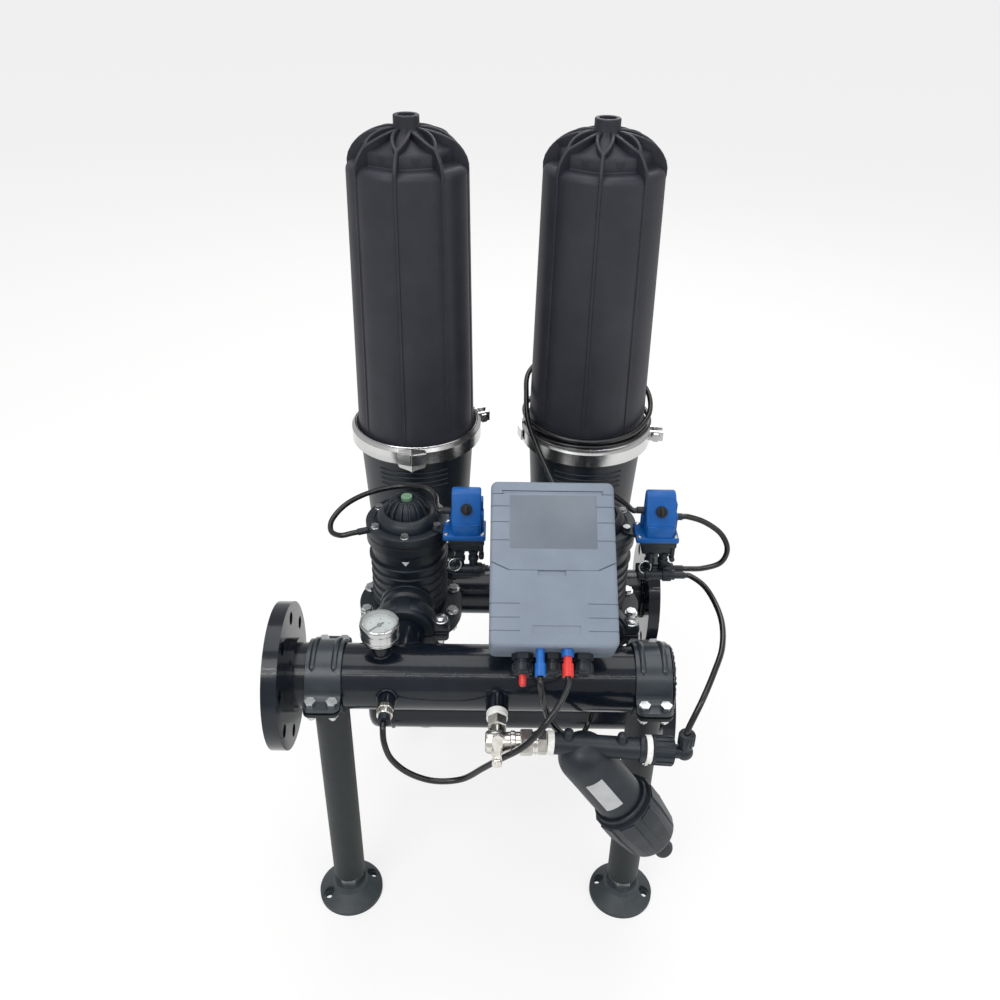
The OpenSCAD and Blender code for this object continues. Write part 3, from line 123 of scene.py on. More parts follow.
looks = {
    # glass filled nylon, moulded matte: soft grey sheen, faint flow marks
    "cover": {"name": "glassFilledNylonMatte", "colours": ("1f2028", "292a33"), "patchMm": 60, "grainMm": 1.2,
              "bumpMm": 0.06, "rough": (0.46, 0.60), "shader": {"IOR": 1.5, "Specular IOR Level": 0.42}},
    # same nylon in the valves and bases, a little darker and shinier
    "valve": {"name": "glassFilledNylonBlack", "colours": ("12181f", "1b232c"), "patchMm": 22, "grainMm": 0.9,
              "bumpMm": 0.08, "rough": (0.34, 0.50), "shader": {"IOR": 1.5, "Specular IOR Level": 0.42}},
    # alkyd enamel brushed on welded steel pipe: gloss with orange peel
    "enamel": {"name": "blackEnamelOnSteel", "colours": ("0a0f18", "141b25"), "patchMm": 35, "grainMm": 3.5,
               "bumpMm": 0.12, "rough": (0.14, 0.30), "bump": 0.45,
               "shader": {"IOR": 1.5, "Specular IOR Level": 0.22, "Coat Weight": 0.3,
                          "Coat Roughness": 0.03}},
    # dark grey enamel on the legs, duller; its colour is darker than the feet's same enamel, as painted shade
    # on the legs
    "legPaint": {"name": "greyEnamelOnSteel", "colours": ("0f1518", "172023"), "patchMm": 28, "grainMm": 2.6,
                 "bumpMm": 0.10, "rough": (0.40, 0.60), "bump": 0.4,
                 "shader": {"IOR": 1.52, "Specular IOR Level": 0.4}},
    # same enamel on the cast feet, its colour lightened as painted light on their lit top faces
    "footPaint": {"name": "dustyGreyEnamel", "colours": ("272e33", "333b40"), "patchMm": 16, "grainMm": 2.2,
                  "bumpMm": 0.12, "rough": (0.42, 0.62), "bump": 0.4, "shader": {"IOR": 1.52}},
    # the same grey enamel on the pressed straps, smoother
    "strapPaint": {"name": "greyEnamelOnStrip", "colours": ("232a31", "2d353c"), "patchMm": 30,
                   "grainMm": 2.6,
                   "bumpMm": 0.05, "rough": (0.24, 0.36), "shader": {"IOR": 1.52}},
    # pressed stainless strip: long streaks round the band
    "stainless": {"name": "pressedStainless", "colours": ("bababb", "cfcfce"), "patchMm": 30, "grainMm": 1.2,
                  "bumpMm": 0.01, "rough": (0.17, 0.27), "stretch": (0.15, 0.15, 1.0),
                  "shader": {"Metallic": 1.0}},
    # bright zinc plate on bolts
    "zinc": {"name": "zincPlatedSteel", "colours": ("b4b7b9", "d6d8d8"), "patchMm": 7, "grainMm": 0.8,
             "bumpMm": 0.05, "rough": (0.20, 0.38), "shader": {"Metallic": 1.0}},
    # nickel plated brass: bright metal, faintly warm
    "nickel": {"name": "nickelPlatedBrass", "colours": ("c4c1ba", "e4e2dc"), "patchMm": 9, "grainMm": 1.1,
               "bumpMm": 0.05, "rough": (0.16, 0.32), "shader": {"Metallic": 1.0}},
    # light grey ABS, fine spark-eroded texture
    "abs": {"name": "greyAbs", "colours": ("6f7a89", "788392"), "patchMm": 45, "grainMm": 0.8,
            "bumpMm": 0.05, "rough": (0.42, 0.55), "shader": {"IOR": 1.53}},
    "absLabel": {"name": "greyPolycarbonateFilm", "colours": ("5b6571", "636d79"), "patchMm": 50,
                 "grainMm": 0.9,
                 "bumpMm": 0.03, "rough": (0.34, 0.46), "shader": {"IOR": 1.58}},
    # blue glass filled nylon of the pilot coils
    "blue": {"name": "blueNylon", "colours": ("034f97", "075aa6"), "patchMm": 18, "grainMm": 0.8,
             "bumpMm": 0.06, "rough": (0.32, 0.46), "shader": {"IOR": 1.5, "Specular IOR Level": 0.36}},
    "portBlue": {"name": "blueAcetal", "colours": ("0b55a2", "1265b6"), "patchMm": 8, "grainMm": 0.7,
                 "bumpMm": 0.04, "rough": (0.28, 0.40), "shader": {"IOR": 1.48}},
    "portRed": {"name": "redAcetal", "colours": ("c92a26", "de3a33"), "patchMm": 8, "grainMm": 0.7,
                "bumpMm": 0.04, "rough": (0.28, 0.40), "shader": {"IOR": 1.48}},
    "green": {"name": "greenAcetal", "colours": ("63876c", "7a9f83"), "patchMm": 6, "grainMm": 0.6,
              "bumpMm": 0.04, "rough": (0.34, 0.46), "shader": {"IOR": 1.48}},
    "rubber": {"name": "blackRubber", "colours": ("111112", "1a1a1b"), "patchMm": 12, "grainMm": 0.7,
               "bumpMm": 0.06, "rough": (0.55, 0.70), "shader": {"IOR": 1.5}},
    "disc": {"name": "redPolypropylene", "colours": ("7c2823", "96352f"), "patchMm": 14, "grainMm": 1.6,
             "bumpMm": 0.4, "rough": (0.40, 0.55), "stretch": (0.02, 0.02, 1.0), "shader": {"IOR": 1.49}},
    # polyethylene tube: extruded, glossy
    "tube": {"name": "blackPolyethylene", "colours": ("0c0d0f", "17181b"), "patchMm": 16, "grainMm": 2.2,
             "bumpMm": 0.04, "rough": (0.16, 0.30), "shader": {"IOR": 1.51}},
    # PTFE thread tape, wrapped in thin white layers
    "tape": {"name": "ptfeTape", "colours": ("dcdcd8", "f1f1ee"), "patchMm": 4, "grainMm": 0.9,
             "bumpMm": 0.25, "rough": (0.40, 0.60), "shader": {"IOR": 1.35}},
    # blank paper sticker
    "paper": {"name": "matteSticker", "colours": ("a9abae", "b9bbbd"), "patchMm": 20, "grainMm": 0.7,
              "bumpMm": 0.03, "rough": (0.5, 0.65), "shader": {"IOR": 1.5}},
    "dial": {"name": "whiteDialEnamel", "colours": ("a9b2b1", "b5bdbc"), "patchMm": 15, "grainMm": 0.5,
             "bumpMm": 0.01, "rough": (0.30, 0.40), "shader": {"IOR": 1.5}},
    "ink": {"name": "blackDialInk", "colours": ("101010", "191919"), "patchMm": 5, "grainMm": 0.4,
            "bumpMm": 0.01, "rough": (0.45, 0.55), "shader": {"IOR": 1.5}},
    "mark": {"name": "whiteMarkPaint", "colours": ("cfd2d2", "e2e4e4"), "patchMm": 4, "grainMm": 0.4,
             "bumpMm": 0.02, "rough": (0.45, 0.55), "shader": {"IOR": 1.5}},
    "glass": {"name": "clearPolycarbonate", "colours": ("f4f8f8", "ffffff"), "patchMm": 30, "grainMm": 5.0,
              "bumpMm": 0.002, "rough": (0.02, 0.06), "shader": {"IOR": 1.45, "Alpha": 0.12}},
}
made = {key: finish(look) for key, look in looks.items()}

nodeLook = {
    "inlet_manifold": "enamel", "outlet_manifold": "enamel", "drain_manifold": "enamel",
            "front_legs": "legPaint",
    "rear_legs": "legPaint", "saddle_straps": "strapPaint", "saddle_bolts": "zinc", "feet": "footPaint",
    "levelling_studs": "zinc", "filter_cover_left": "cover", "filter_cover_right": "cover",
    "filter_base_left": "valve", "filter_base_right": "valve", "cover_clamp_left": "stainless",
    "cover_clamp_right": "stainless", "clamp_links": "stainless", "seal_rings": "rubber",
            "disc_stacks": "disc",
    "disc_spines": "valve", "disc_press_left": "valve", "disc_press_right": "valve",
            "press_spring_left": "zinc",
    "press_spring_right": "zinc", "valve_body_left": "valve", "valve_body_right": "valve",
    "valve_lower_bodies": "valve", "valve_bolts": "zinc", "valve_bonnets": "valve",
            "diaphragm_left": "rubber",
    "diaphragm_right": "rubber", "valve_stem_left": "green", "valve_stem_right": "green",
    "pipe_couplings": "enamel", "coupling_bolts": "zinc", "solenoid_coils": "blue", "solenoid_bases": "valve",
    "override_knob_left": "rubber", "override_knob_right": "rubber", "controller_case": "abs",
    "controller_flap": "abs", "controller_bracket": "enamel", "cable_glands": "valve",
            "port_blue": "portBlue",
    "port_red": "portRed", "gauge_case": "stainless", "gauge_needle": "ink", "gauge_lens": "glass",
    "strainer_body": "valve", "strainer_cap": "valve", "strainer_screen": "stainless", "ball_valve": "nickel",
    "valve_lever": "nickel", "tube_fittings": "valve", "tube_high": "tube", "tube_low": "tube",
    "tube_supply": "tube", "tube_right": "tube", "tube_left": "tube", "tube_link": "tube",
            "tube_stowed": "tube",
}
for node, key in nodeLook.items():
    nodes[node].data.materials.clear()
    nodes[node].data.materials.append(made[key])
print("materials on", len(nodeLook), "nodes")


# stage: pale floor, soft studio light
stage = {"floorSize": 70.0, "floor": "f8f8f7", "ambient": 0.55, "mirrored": 0.6, "lamps": (
    ("key", (-1.6, -2.2, 3.4), (1.8, 1.8), 38.0), ("fill", (2.4, -1.6, 2.2), (2.2, 2.2), 16.0),
    ("rim", (0.6, 2.6, 2.6), (1.6, 1.6), 26.0), ("top", (0, 0.4, 3.7), (2.6, 2.6), 44.0),
    ("stripLow", (0, -2.5, 2.75), (5.0, 0.05), 14.0),
    ("stripHigh", (0, -2.5, 3.35), (5.0, 0.05), 14.0))}
floorMesh = bpy.data.meshes.new("floor")
half = stage["floorSize"] / 2
floorMesh.from_pydata([(-half, -half, 0), (half, -half, 0), (half, half, 0), (-half, half, 0)], [],
                      [(0, 1, 2, 3)])
floor = bpy.data.objects.new("floor", floorMesh)
bpy.context.scene.collection.objects.link(floor)
floorPaint = bpy.data.materials.new("paleFloor")
floorPaint.use_nodes = True
floorTree = floorPaint.node_tree
floorShader = floorTree.nodes["Principled BSDF"]
floorShader.inputs["Base Color"].default_value = linear(stage["floor"])
floorShader.inputs["Roughness"].default_value = 0.9
seen = addNode(floorTree, "ShaderNodeLightPath")
glow = addNode(floorTree, "ShaderNodeEmission", {"Color": (1, 1, 1, 1), "Strength": 1.0})
share = addNode(floorTree, "ShaderNodeMath", {1: 0.72}, {0: seen.outputs["Is Camera Ray"]},
                operation="MULTIPLY")
blend = addNode(floorTree, "ShaderNodeMixShader", None, {"Fac": share.outputs[0], 1: floorShader.outputs[0],
                                                        2: glow.outputs[0]})
floorTree.links.new(blend.outputs[0], floorTree.nodes["Material Output"].inputs["Surface"])
floorMesh.materials.append(floorPaint)
world = bpy.data.worlds.new("studio")
bpy.context.scene.world = world
world.use_nodes = True
sky = world.node_tree
backdrop = sky.nodes["Background"]
backdrop.inputs["Color"].default_value = (1, 1, 1, 1)
rays = addNode(sky, "ShaderNodeLightPath")
direct = addNode(sky, "ShaderNodeMapRange", {"To Min": stage["ambient"], "To Max": stage["mirrored"]},
                 {"Value": rays.outputs["Is Glossy Ray"]})
level = addNode(sky, "ShaderNodeMath", None, {0: direct.outputs["Result"], 1: rays.outputs["Is Camera Ray"]},
                operation="MAXIMUM")
sky.links.new(level.outputs[0], backdrop.inputs["Strength"])
for name, place, size, power in stage["lamps"]:
    lampData = bpy.data.lights.new(name, "AREA")
    lampData.shape, lampData.size, lampData.size_y, lampData.energy = "RECTANGLE", *size, power
    lamp = bpy.data.objects.new(name, lampData)
    lamp.location = place
    lamp.rotation_mode = "QUATERNION"
    lamp.rotation_quaternion = (Vector((0, 0, 0.6)) - Vector(place)).to_track_quat("-Z", "Y")
    bpy.context.scene.collection.objects.link(lamp)
print("stage and lamps ready")


# control tubes, 8 mm, on the same routes as the solids
tubes = {
    "tube_high": ((-137, -254, 470), (-137, -263, 470), (-135, -273, 452), (-126, -278, 428),
                  (-104, -280, 405), (-72, -280, 391), (-36, -281, 396), (-8, -292, 430), (8, -300, 452),
                  (20, -304, 465), (34, -310, 482), (47, -311, 497), (61, -308, 515), (72, -301, 528),
                  (84, -288, 540), (95, -270, 554), (95, -261.4, 559.9)),
    "tube_low": ((61, -261.4, 559.9), (61, -270, 554), (67, -273, 524), (77, -263, 483), (95, -250, 449),
                 (113, -234, 426), (124, -200, 390), (136, -150, 346), (148, -100, 310), (158, -66, 304),
                 (168, -38, 299), (168, -31.3, 292.3)),
    "tube_supply": ((247, -285, 488), (247, -285, 497), (264, -266, 528), (284, -228, 538), (302, -186, 542),
                    (312, -136, 542), (311, -92, 542), (302, -56, 544), (286, -36, 546), (277, -34, 546)),
    "tube_right": ((267, -11, 632), (276, -11, 632), (300, -12, 624), (325, -14, 606), (337, -18, 582),
                   (330, -20, 559), (306, -19, 548), (286, -18, 546), (277, -18, 546)),
    "tube_left": ((-193.1, -3.9, 593.5), (-201, -7, 593.5), (-218, -8, 590), (-233, 4, 589), (-234, 26, 595),
                  (-216, 54, 604), (-184, 80, 608), (-140, 92, 612), (-100, 74, 622), (-84, 36, 632),
                  (-80, 4, 636), (-76, -9, 636), (-69, -9, 636)),
    "tube_link": ((203, -9, 641), (196, -9, 641), (182, 16, 642), (142, 58, 640), (84, 58, 626),
                  (38, 38, 592), (18, -10, 556), (4, -26, 548), (-5, -26, 548)),
    "tube_stowed": ((52, 160, 690), (64, 118, 672), (80, 76, 652), (94, 38, 634), (100, 2, 616),
                    (100, -26, 618), (100, -38, 631), (100, -43.5, 639.3)),
}
coil = {"radius": 99.5, "low": 661.5, "rise": 18, "lift": 36, "steps": 24}
turns = []
for k in range(coil["steps"] + 1):
    a = math.radians(-530 + 30 * k)
    t = max(0, k - 10) / 14
    lift = coil["lift"] * t * (1 - math.cos(a + math.pi / 2))
    turns.append((unitX[1] + coil["radius"] * math.cos(a), filterY + coil["radius"] * math.sin(a),
                  coil["low"] + coil["rise"] * k / coil["steps"] + lift))
tubes["tube_stowed"] = tuple(turns) + tubes["tube_stowed"]


def smoothPath(route, steps=6):
    # same spline as the solids, with more steps
    pts = [Vector(p) * mm for p in route]
    line = []
    for i in range(len(pts) - 1):
        a, b, c, d = pts[max(i - 1, 0)], pts[i], pts[i + 1], pts[min(i + 2, len(pts) - 1)]
        for j in range(steps):
            t = j / steps
            line.append(0.5 * (2 * b + (c - a) * t + (2 * a - 5 * b + 4 * c - d) * t * t
                               + (3 * b - a - 3 * c + d) * t ** 3))
    return line + [pts[-1]]


for node, route in tubes.items():
    line = smoothPath(route)
    curve = bpy.data.curves.new(node + "Curve", "CURVE")
    curve.dimensions = "3D"
    curve.bevel_depth = 4 * mm
    curve.bevel_resolution = 4
    curve.use_fill_caps = True
    spline = curve.splines.new("POLY")
    spline.points.add(len(line) - 1)
    for point, place in zip(spline.points, line):
        point.co = (*place, 1)
    spline.use_smooth = True
    hose = bpy.data.objects.new(node + "Hose", curve)
    bpy.context.scene.collection.objects.link(hose)
    curve.materials.append(made["tube"])
    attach(hose, "station")
    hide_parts(node)
    length = sum((b - a).length for a, b in zip(line, line[1:]))
    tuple(line[0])
    print(node, "length", round(length, 3), "m")


# mesh helpers
def addPiece(name, bm, look, body="station", replaces=(), angle=35):
    mesh = bpy.data.meshes.new(name)
    bm.to_mesh(mesh)
    bm.free()
    mesh.materials.append(made[look])
    mesh.polygons.foreach_set("use_smooth", [True] * len(mesh.polygons))
    mesh.set_sharp_from_angle(angle=math.radians(angle))
    piece = bpy.data.objects.new(name, mesh)
    bpy.context.scene.collection.objects.link(piece)
    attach(piece, body)
    if replaces:
        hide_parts(*replaces)


def skin(bm, rings, closed=True, caps=True, place=None):
    # joins rings of points into a surface, each ring with the same count
    place = place or Matrix.Identity(4)
    grid = [[bm.verts.new(place @ Vector(p)) for p in ring] for ring in rings]
    count = len(grid[0])
    for low, high in zip(grid, grid[1:]):
        for k in range(count if closed else count - 1):
            n = (k + 1) % count
            bm.faces.new((low[k], low[n], high[n], high[k]))
    if caps:
        bm.faces.new(list(reversed(grid[0])))
        bm.faces.new(grid[-1])


def lathe(bm, profile, steps=64, place=None, start=0.0, sweep=360.0):
    # profile of (radius, height) in mm, turned about Z
    whole = abs(sweep - 360) < 0.01
    columns = steps if whole else steps + 1
    angles = [math.radians(start + sweep * k / steps) for k in range(columns)]
    rings = [[(max(r, 0.01) * mm * math.cos(a), max(r, 0.01) * mm * math.sin(a), z * mm) for a in angles]
             for r, z in profile]
    skin(bm, rings, whole, False, place)


def arc(bm, profile, steps, place, start, sweep):
    # part of a turned ring, closed at both ends
    lathe(bm, profile, steps, place, start, sweep)
    ends = profile[:-1] if profile[0] == profile[-1] else profile
    for end in (start, start + sweep):
        a = math.radians(end)
        bm.faces.new([bm.verts.new(place @ (Vector((r * math.cos(a), r * math.sin(a), z)) * mm)) for r,
                      z in ends])


def loopOf(count, spot):
    # closed line of points, spot gives each one's place in mm from its angle
    return [Vector(spot(2 * math.pi * k / count)) * mm for k in range(count)]


def rounded(points, radius, steps=3):
    # replaces each corner of an outline by a short arc
    result = []
    count = len(points)
    for i in range(count):
        p = Vector(points[i])
        toBack, toNext = Vector(points[i - 1]) - p, Vector(points[(i + 1) % count]) - p
        reach = min(radius, toBack.length * 0.45, toNext.length * 0.45)
        a, b = p + toBack.normalized() * reach, p + toNext.normalized() * reach
        for k in range(steps + 1):
            t = k / steps
            result.append(tuple((1 - t) ** 2 * a + 2 * t * (1 - t) * p + t * t * b))
    return result


def bar(bm, path, section, ups):
    # section of (side, up) swept along a path; ups gives the up direction at each point
    rings = []
    for i, p in enumerate(path):
        ahead = (path[min(i + 1, len(path) - 1)] - path[max(i - 1, 0)]).normalized()
        up = (ups[i] - ahead * ups[i].dot(ahead)).normalized()
        side = ahead.cross(up)
        rings.append([p + side * a * mm + up * b * mm for a, b in section])
    skin(bm, rings)


def box(bm, low, high, bevel=0.0, place=None):
    # box in mm with rounded edges
    corners = bmesh.ops.create_cube(bm, size=1.0)["verts"]
    size = Vector(high) - Vector(low)
    middle = (Vector(high) + Vector(low)) / 2
    for v in corners:
        v.co = Vector((v.co.x * size.x, v.co.y * size.y, v.co.z * size.z)) + middle
    edges = {e for v in corners for e in v.link_edges}
    verts = set(corners)
    if bevel:
        done = bmesh.ops.bevel(bm, geom=list(edges), offset=bevel, segments=2, profile=0.5, affect="EDGES")
        verts = set(done["verts"]) | {v for v in corners if v.is_valid}
        verts |= {v for f in done["faces"] for v in f.verts}
    for v in verts:
        v.co = (place or Matrix.Identity(4)) @ (v.co * mm)


def tidy(bm):
    bmesh.ops.remove_doubles(bm, verts=bm.verts, dist=0.00001)
    bmesh.ops.recalc_face_normals(bm, faces=bm.faces)
    return bm


def turned(place=(0, 0, 0), x=0.0, y=0.0, z=0.0):
    # place in mm, turns in degrees, X first
    return (Matrix.Translation(Vector(place) * mm) @ Matrix.Rotation(math.radians(z), 4, "Z")
            @ Matrix.Rotation(math.radians(y), 4, "Y") @ Matrix.Rotation(math.radians(x), 4, "X"))


# repeats: a part set round a ring, its own +X pointing out
ringTree = bpy.data.node_groups.new("partsRoundRing", "GeometryNodeTree")
for label, kind in (("Count", "NodeSocketInt"), ("Kept", "NodeSocketInt"), ("Radius", "NodeSocketFloat"),
                    ("Part", "NodeSocketObject"), ("Material", "NodeSocketMaterial")):
    ringTree.interface.new_socket(label, in_out="INPUT", socket_type=kind)
ringTree.interface.new_socket("Geometry", in_out="OUTPUT", socket_type="NodeSocketGeometry")
ringIn = addNode(ringTree, "NodeGroupInput")
ringLine = addNode(ringTree, "GeometryNodeMeshCircle", None,
                   {"Vertices": ringIn.outputs["Count"], "Radius": ringIn.outputs["Radius"]})
ringPart = addNode(ringTree, "GeometryNodeObjectInfo", {"As Instance": True},
                   {"Object": ringIn.outputs["Part"]})
ringSpot = addNode(ringTree, "GeometryNodeInputPosition")
ringTurn = addNode(ringTree, "FunctionNodeAlignRotationToVector", None,
                   {"Vector": ringSpot.outputs["Position"]}, axis="X", pivot_axis="Z")
ringIndex = addNode(ringTree, "GeometryNodeInputIndex")
ringKeep = addNode(ringTree, "FunctionNodeCompare", None, data_type="INT", operation="LESS_THAN")
ringTree.links.new(ringIndex.outputs[0], ringKeep.inputs[2])
ringTree.links.new(ringIn.outputs["Kept"], ringKeep.inputs[3])
ringSet = addNode(ringTree, "GeometryNodeInstanceOnPoints", None, {
    "Points": ringLine.outputs["Mesh"], "Selection": ringKeep.outputs["Result"],
    "Instance": ringPart.outputs["Geometry"], "Rotation": ringTurn.outputs["Rotation"]})
ringReal = addNode(ringTree, "GeometryNodeRealizeInstances", None, {"Geometry": ringSet.outputs["Instances"]})
ringPaint = addNode(ringTree, "GeometryNodeSetMaterial", None,
                    {"Geometry": ringReal.outputs["Geometry"], "Material": ringIn.outputs["Material"]})
addNode(ringTree, "NodeGroupOutput", None, {"Geometry": ringPaint.outputs["Geometry"]})
ringIds = {item.name: item.identifier for item in ringTree.interface.items_tree if item.in_out == "INPUT"}


def ringOf(bm, partBm, count, radius, place=None, look="valve", kept=None):
    # bakes the ring into bm as plain mesh
    partMesh = bpy.data.meshes.new("ringPart")
    tidy(partBm).to_mesh(partMesh)
    partBm.free()
    part = bpy.data.objects.new("ringPart", partMesh)
    holder = bpy.data.objects.new("ringHolder", bpy.data.meshes.new("ringHolder"))
    for temp in (part, holder):
        bpy.context.scene.collection.objects.link(temp)
    step = holder.modifiers.new("ring", "NODES")
    step.node_group = ringTree
    for label, value in (("Count", count), ("Kept", kept or count), ("Radius", radius * mm), ("Part", part),
                         ("Material", made[look])):
        step[ringIds[label]] = value
    bpy.context.view_layer.update()
    done = bpy.data.meshes.new_from_object(holder.evaluated_get(bpy.context.evaluated_depsgraph_get()))
    holder.modifiers.clear()
    done.transform(place or Matrix.Identity(4))
    bm.from_mesh(done)
    for temp in (part, holder):
        bpy.data.objects.remove(temp)
    bpy.data.meshes.remove(done)


# filter covers: bulged panels between ribs, a recessed core and forked fins
cover = {"lowR": 91.5, "highR": 85.5, "footZ": 651.0, "shoulderZ": 1046.0, "lipR": 97.0, "splitZ": 641.0,
         "coreR": 66.0, "coreZ": 1076.0, "bossR": 18.0, "bossZ": 1102.0, "topZ": 1117.0, "valley": 2.1,
         "ribRise": 1.5, "finT": 5.0, "turns": (-97.2, -99.0), "holeR": 12.0}
offsets = (0, 1.6, 2.5, 5, 8.5, 13, 19, 26, 34.55)        # mm from a rib, at 88 mm radius
columns = [(k * 45 + math.degrees(d / 88), d) for k in range(8) for d in offsets[:-1]]
columns += [(k * 45 - math.degrees(d / 88), d) for k in range(8) for d in offsets[1:]]
columns = sorted((a % 360, d) for a, d in columns)


def coverRows():
    # each row: radius, height, valley depth, valley width, rib rise, share of flat facets
    c = cover
    rows = [(0.001, c["bossZ"] - 10, 0, 9, 0, 0), (14, c["bossZ"] - 10, 0, 9, 0, 0), (61, 1072, 0, 9, 0, 0),
            (61, 1052, 0, 9, 0, 0), (80.5, 1040, 0, 9, 0, 0), (86.5, c["footZ"], 0, 9, 0, 0),
            (86.5, c["splitZ"], 0, 9, 0, 0), (c["lipR"], c["splitZ"], 0, 9, 0, 0),
            (c["lipR"], c["footZ"] - 0.6, 0, 9, 0, 0), (c["lipR"] - 0.6, c["footZ"], 0, 9, 0, 0),
            (c["lowR"] + 1.2, c["footZ"], 0, 9, 0, 0), (c["lowR"], c["footZ"] + 1.5, 0.2, 9, 0, 0)]
    for k in range(11):
        t = k / 10
        rows.append((c["lowR"] + (c["highR"] - c["lowR"]) * t,
                     c["footZ"] + 9 + (c["shoulderZ"] - c["footZ"] - 9) * t, c["valley"], 9, c["ribRise"], 0))
    for k in range(1, 9):
        t = math.radians(90 * k / 8)
        rows.append((74.5 + 11 * math.cos(t), c["shoulderZ"] + 12 * math.sin(t),
                     c["valley"] + 3.6 * (1 - math.cos(t)), 9 + 5 * (1 - math.cos(t)), c["ribRise"], 0))
    rows += [(70, 1058.4, 2, 10, 0, 0.5), (67.2, 1058.2, 0, 9, 0, 1), (c["coreR"], 1059.6, 0, 9, 0, 1),
             (c["coreR"] - 0.6, c["coreZ"] - 2, 0, 9, 0, 1), (c["coreR"] - 2.2, c["coreZ"] + 0.6, 0, 9, 0, 1),
             (c["coreR"] - 5, c["coreZ"] + 2.4, 0, 9, 0, 1), (42, 1088, 0, 9, 0, 0.8),
             (22, 1097, 0, 9, 0, 0.2), (c["bossR"] + 0.8, 1098.6, 0, 9, 0, 0),
             (c["bossR"], 1100.5, 0, 9, 0, 0), (c["bossR"], c["topZ"] - 1.2, 0, 9, 0, 0),
             (c["bossR"] - 1, c["topZ"], 0, 9, 0, 0), (c["holeR"] + 0.8, c["topZ"], 0, 9, 0, 0),
             (c["holeR"], c["topZ"] - 0.8, 0, 9, 0, 0), (c["holeR"] - 0.4, c["topZ"] - 11, 0, 9, 0, 0),
             (0.001, c["topZ"] - 11, 0, 9, 0, 0)]
    return rows


def coverShell(bm, place):
    rings = []
    for r, z, valley, wide, rise, flat in coverRows():
        ring = []
        for angle, d in columns:
            dip = valley * math.exp(-(d / wide) ** 2)
            lift = rise if d <= 1.6 else 0
            facet = math.radians((angle % 45) - 22.5)
            flatR = r * math.cos(math.radians(22.5)) / math.cos(facet)
            away = (r - dip + lift) * (1 - flat) + (flatR - dip) * flat
            turn = math.radians(angle)
            ring.append((away * mm * math.cos(turn), away * mm * math.sin(turn), z * mm))
        rings.append(ring)
    skin(bm, rings, caps=False, place=place)


def domePoint(t, proud=2.0):
    c = cover
    a = math.radians(t)
    return (c["bossR"] + (c["highR"] - c["bossR"] + proud) * math.cos(a),
            c["shoulderZ"] + (c["bossZ"] - c["shoulderZ"]) * math.sin(a))


def finPart():
    # one rib's trunk over the shoulder and its two curved branches to the boss
    bm = bmesh.new()
    w = cover["finT"] / 2
    feet = ((-7, 83, 1040), (0, 80, 1046), (10, 75, 1052), (20, 70, 1056), (30, 63, 1058), (38, 62, 1066),
            (47, 61, 1074))
    rings = []
    for t, r, z in feet:
        topR, topZ = domePoint(t, min(2.0, -0.6 + 2.6 * (t + 7) / 22))
        out = Vector((math.cos(math.radians(t)), math.sin(math.radians(t)))) * 1.3
        rings.append([(r * mm, -w * mm, z * mm), (r * mm, w * mm, z * mm),
                      ((topR - out.x) * mm, w * mm, (topZ - out.y) * mm),
                      (topR * mm, (w - 1.3) * mm, topZ * mm), (topR * mm, (1.3 - w) * mm, topZ * mm),
                      ((topR - out.x) * mm, -w * mm, (topZ - out.y) * mm)])
    skin(bm, rings)
    for sign in (-1, 1):
        path, ups = [], []
        for k in range(13):
            t = 42 + 47 * k / 12
            r, z = domePoint(t)
            share = max(0.0, (t - 44) / 45)
            turn = math.radians(sign * 22.5 * (share ** 0.8))
            path.append(Vector((r * math.cos(turn), r * math.sin(turn), z)) * mm)
            lean = math.atan2((cover["bossZ"] - cover["shoulderZ"]) * math.cos(math.radians(t)),
                              (cover["highR"] - cover["bossR"] + 2) * math.sin(math.radians(t)))
            ups.append(Vector((math.sin(lean) * math.cos(turn), math.sin(lean) * math.sin(turn),
                               math.cos(lean))))
        b = w * 0.92
        bar(bm, path, [(-b, -13), (b, -13), (b, -1.3), (b - 1.3, 0), (1.3 - b, 0), (-b, -1.3)], ups)
    return bm


for i, side in enumerate(sides):
    bm = bmesh.new()
    place = turned((unitX[i], filterY, 0), z=cover["turns"][i])
    coverShell(bm, place)
    fins = finPart()
    bmesh.ops.translate(fins, verts=fins.verts, vec=(-0.02, 0, 0))
    ringOf(bm, fins, 8, 20, place, "cover")
    addPiece("coverShell_" + side, tidy(bm), "cover", replaces=("filter_cover_" + side,),
             angle=28)
print("covers done")

for side, x in zip(sides, unitX):
    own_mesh(nodes[f"press_spring_{side}"])


def cutAway(bm, cutterBm):
    # takes the cutter out of bm, both closed
    pair = []
    for source in (bm, cutterBm):
        mesh = bpy.data.meshes.new("cutTemp")
        tidy(source).to_mesh(mesh)
        source.free()
        temp = bpy.data.objects.new("cutTemp", mesh)
        bpy.context.scene.collection.objects.link(temp)
        pair.append(temp)
    step = pair[0].modifiers.new("cut", "BOOLEAN")
    step.operation, step.solver, step.object = "DIFFERENCE", "EXACT", pair[1]
    bpy.context.view_layer.update()
    done = bpy.data.meshes.new_from_object(pair[0].evaluated_get(bpy.context.evaluated_depsgraph_get()))
    pair[0].modifiers.clear()
    result = bmesh.new()
    result.from_mesh(done)
    for temp in pair:
        bpy.data.objects.remove(temp)
    bpy.data.meshes.remove(done)
    return result


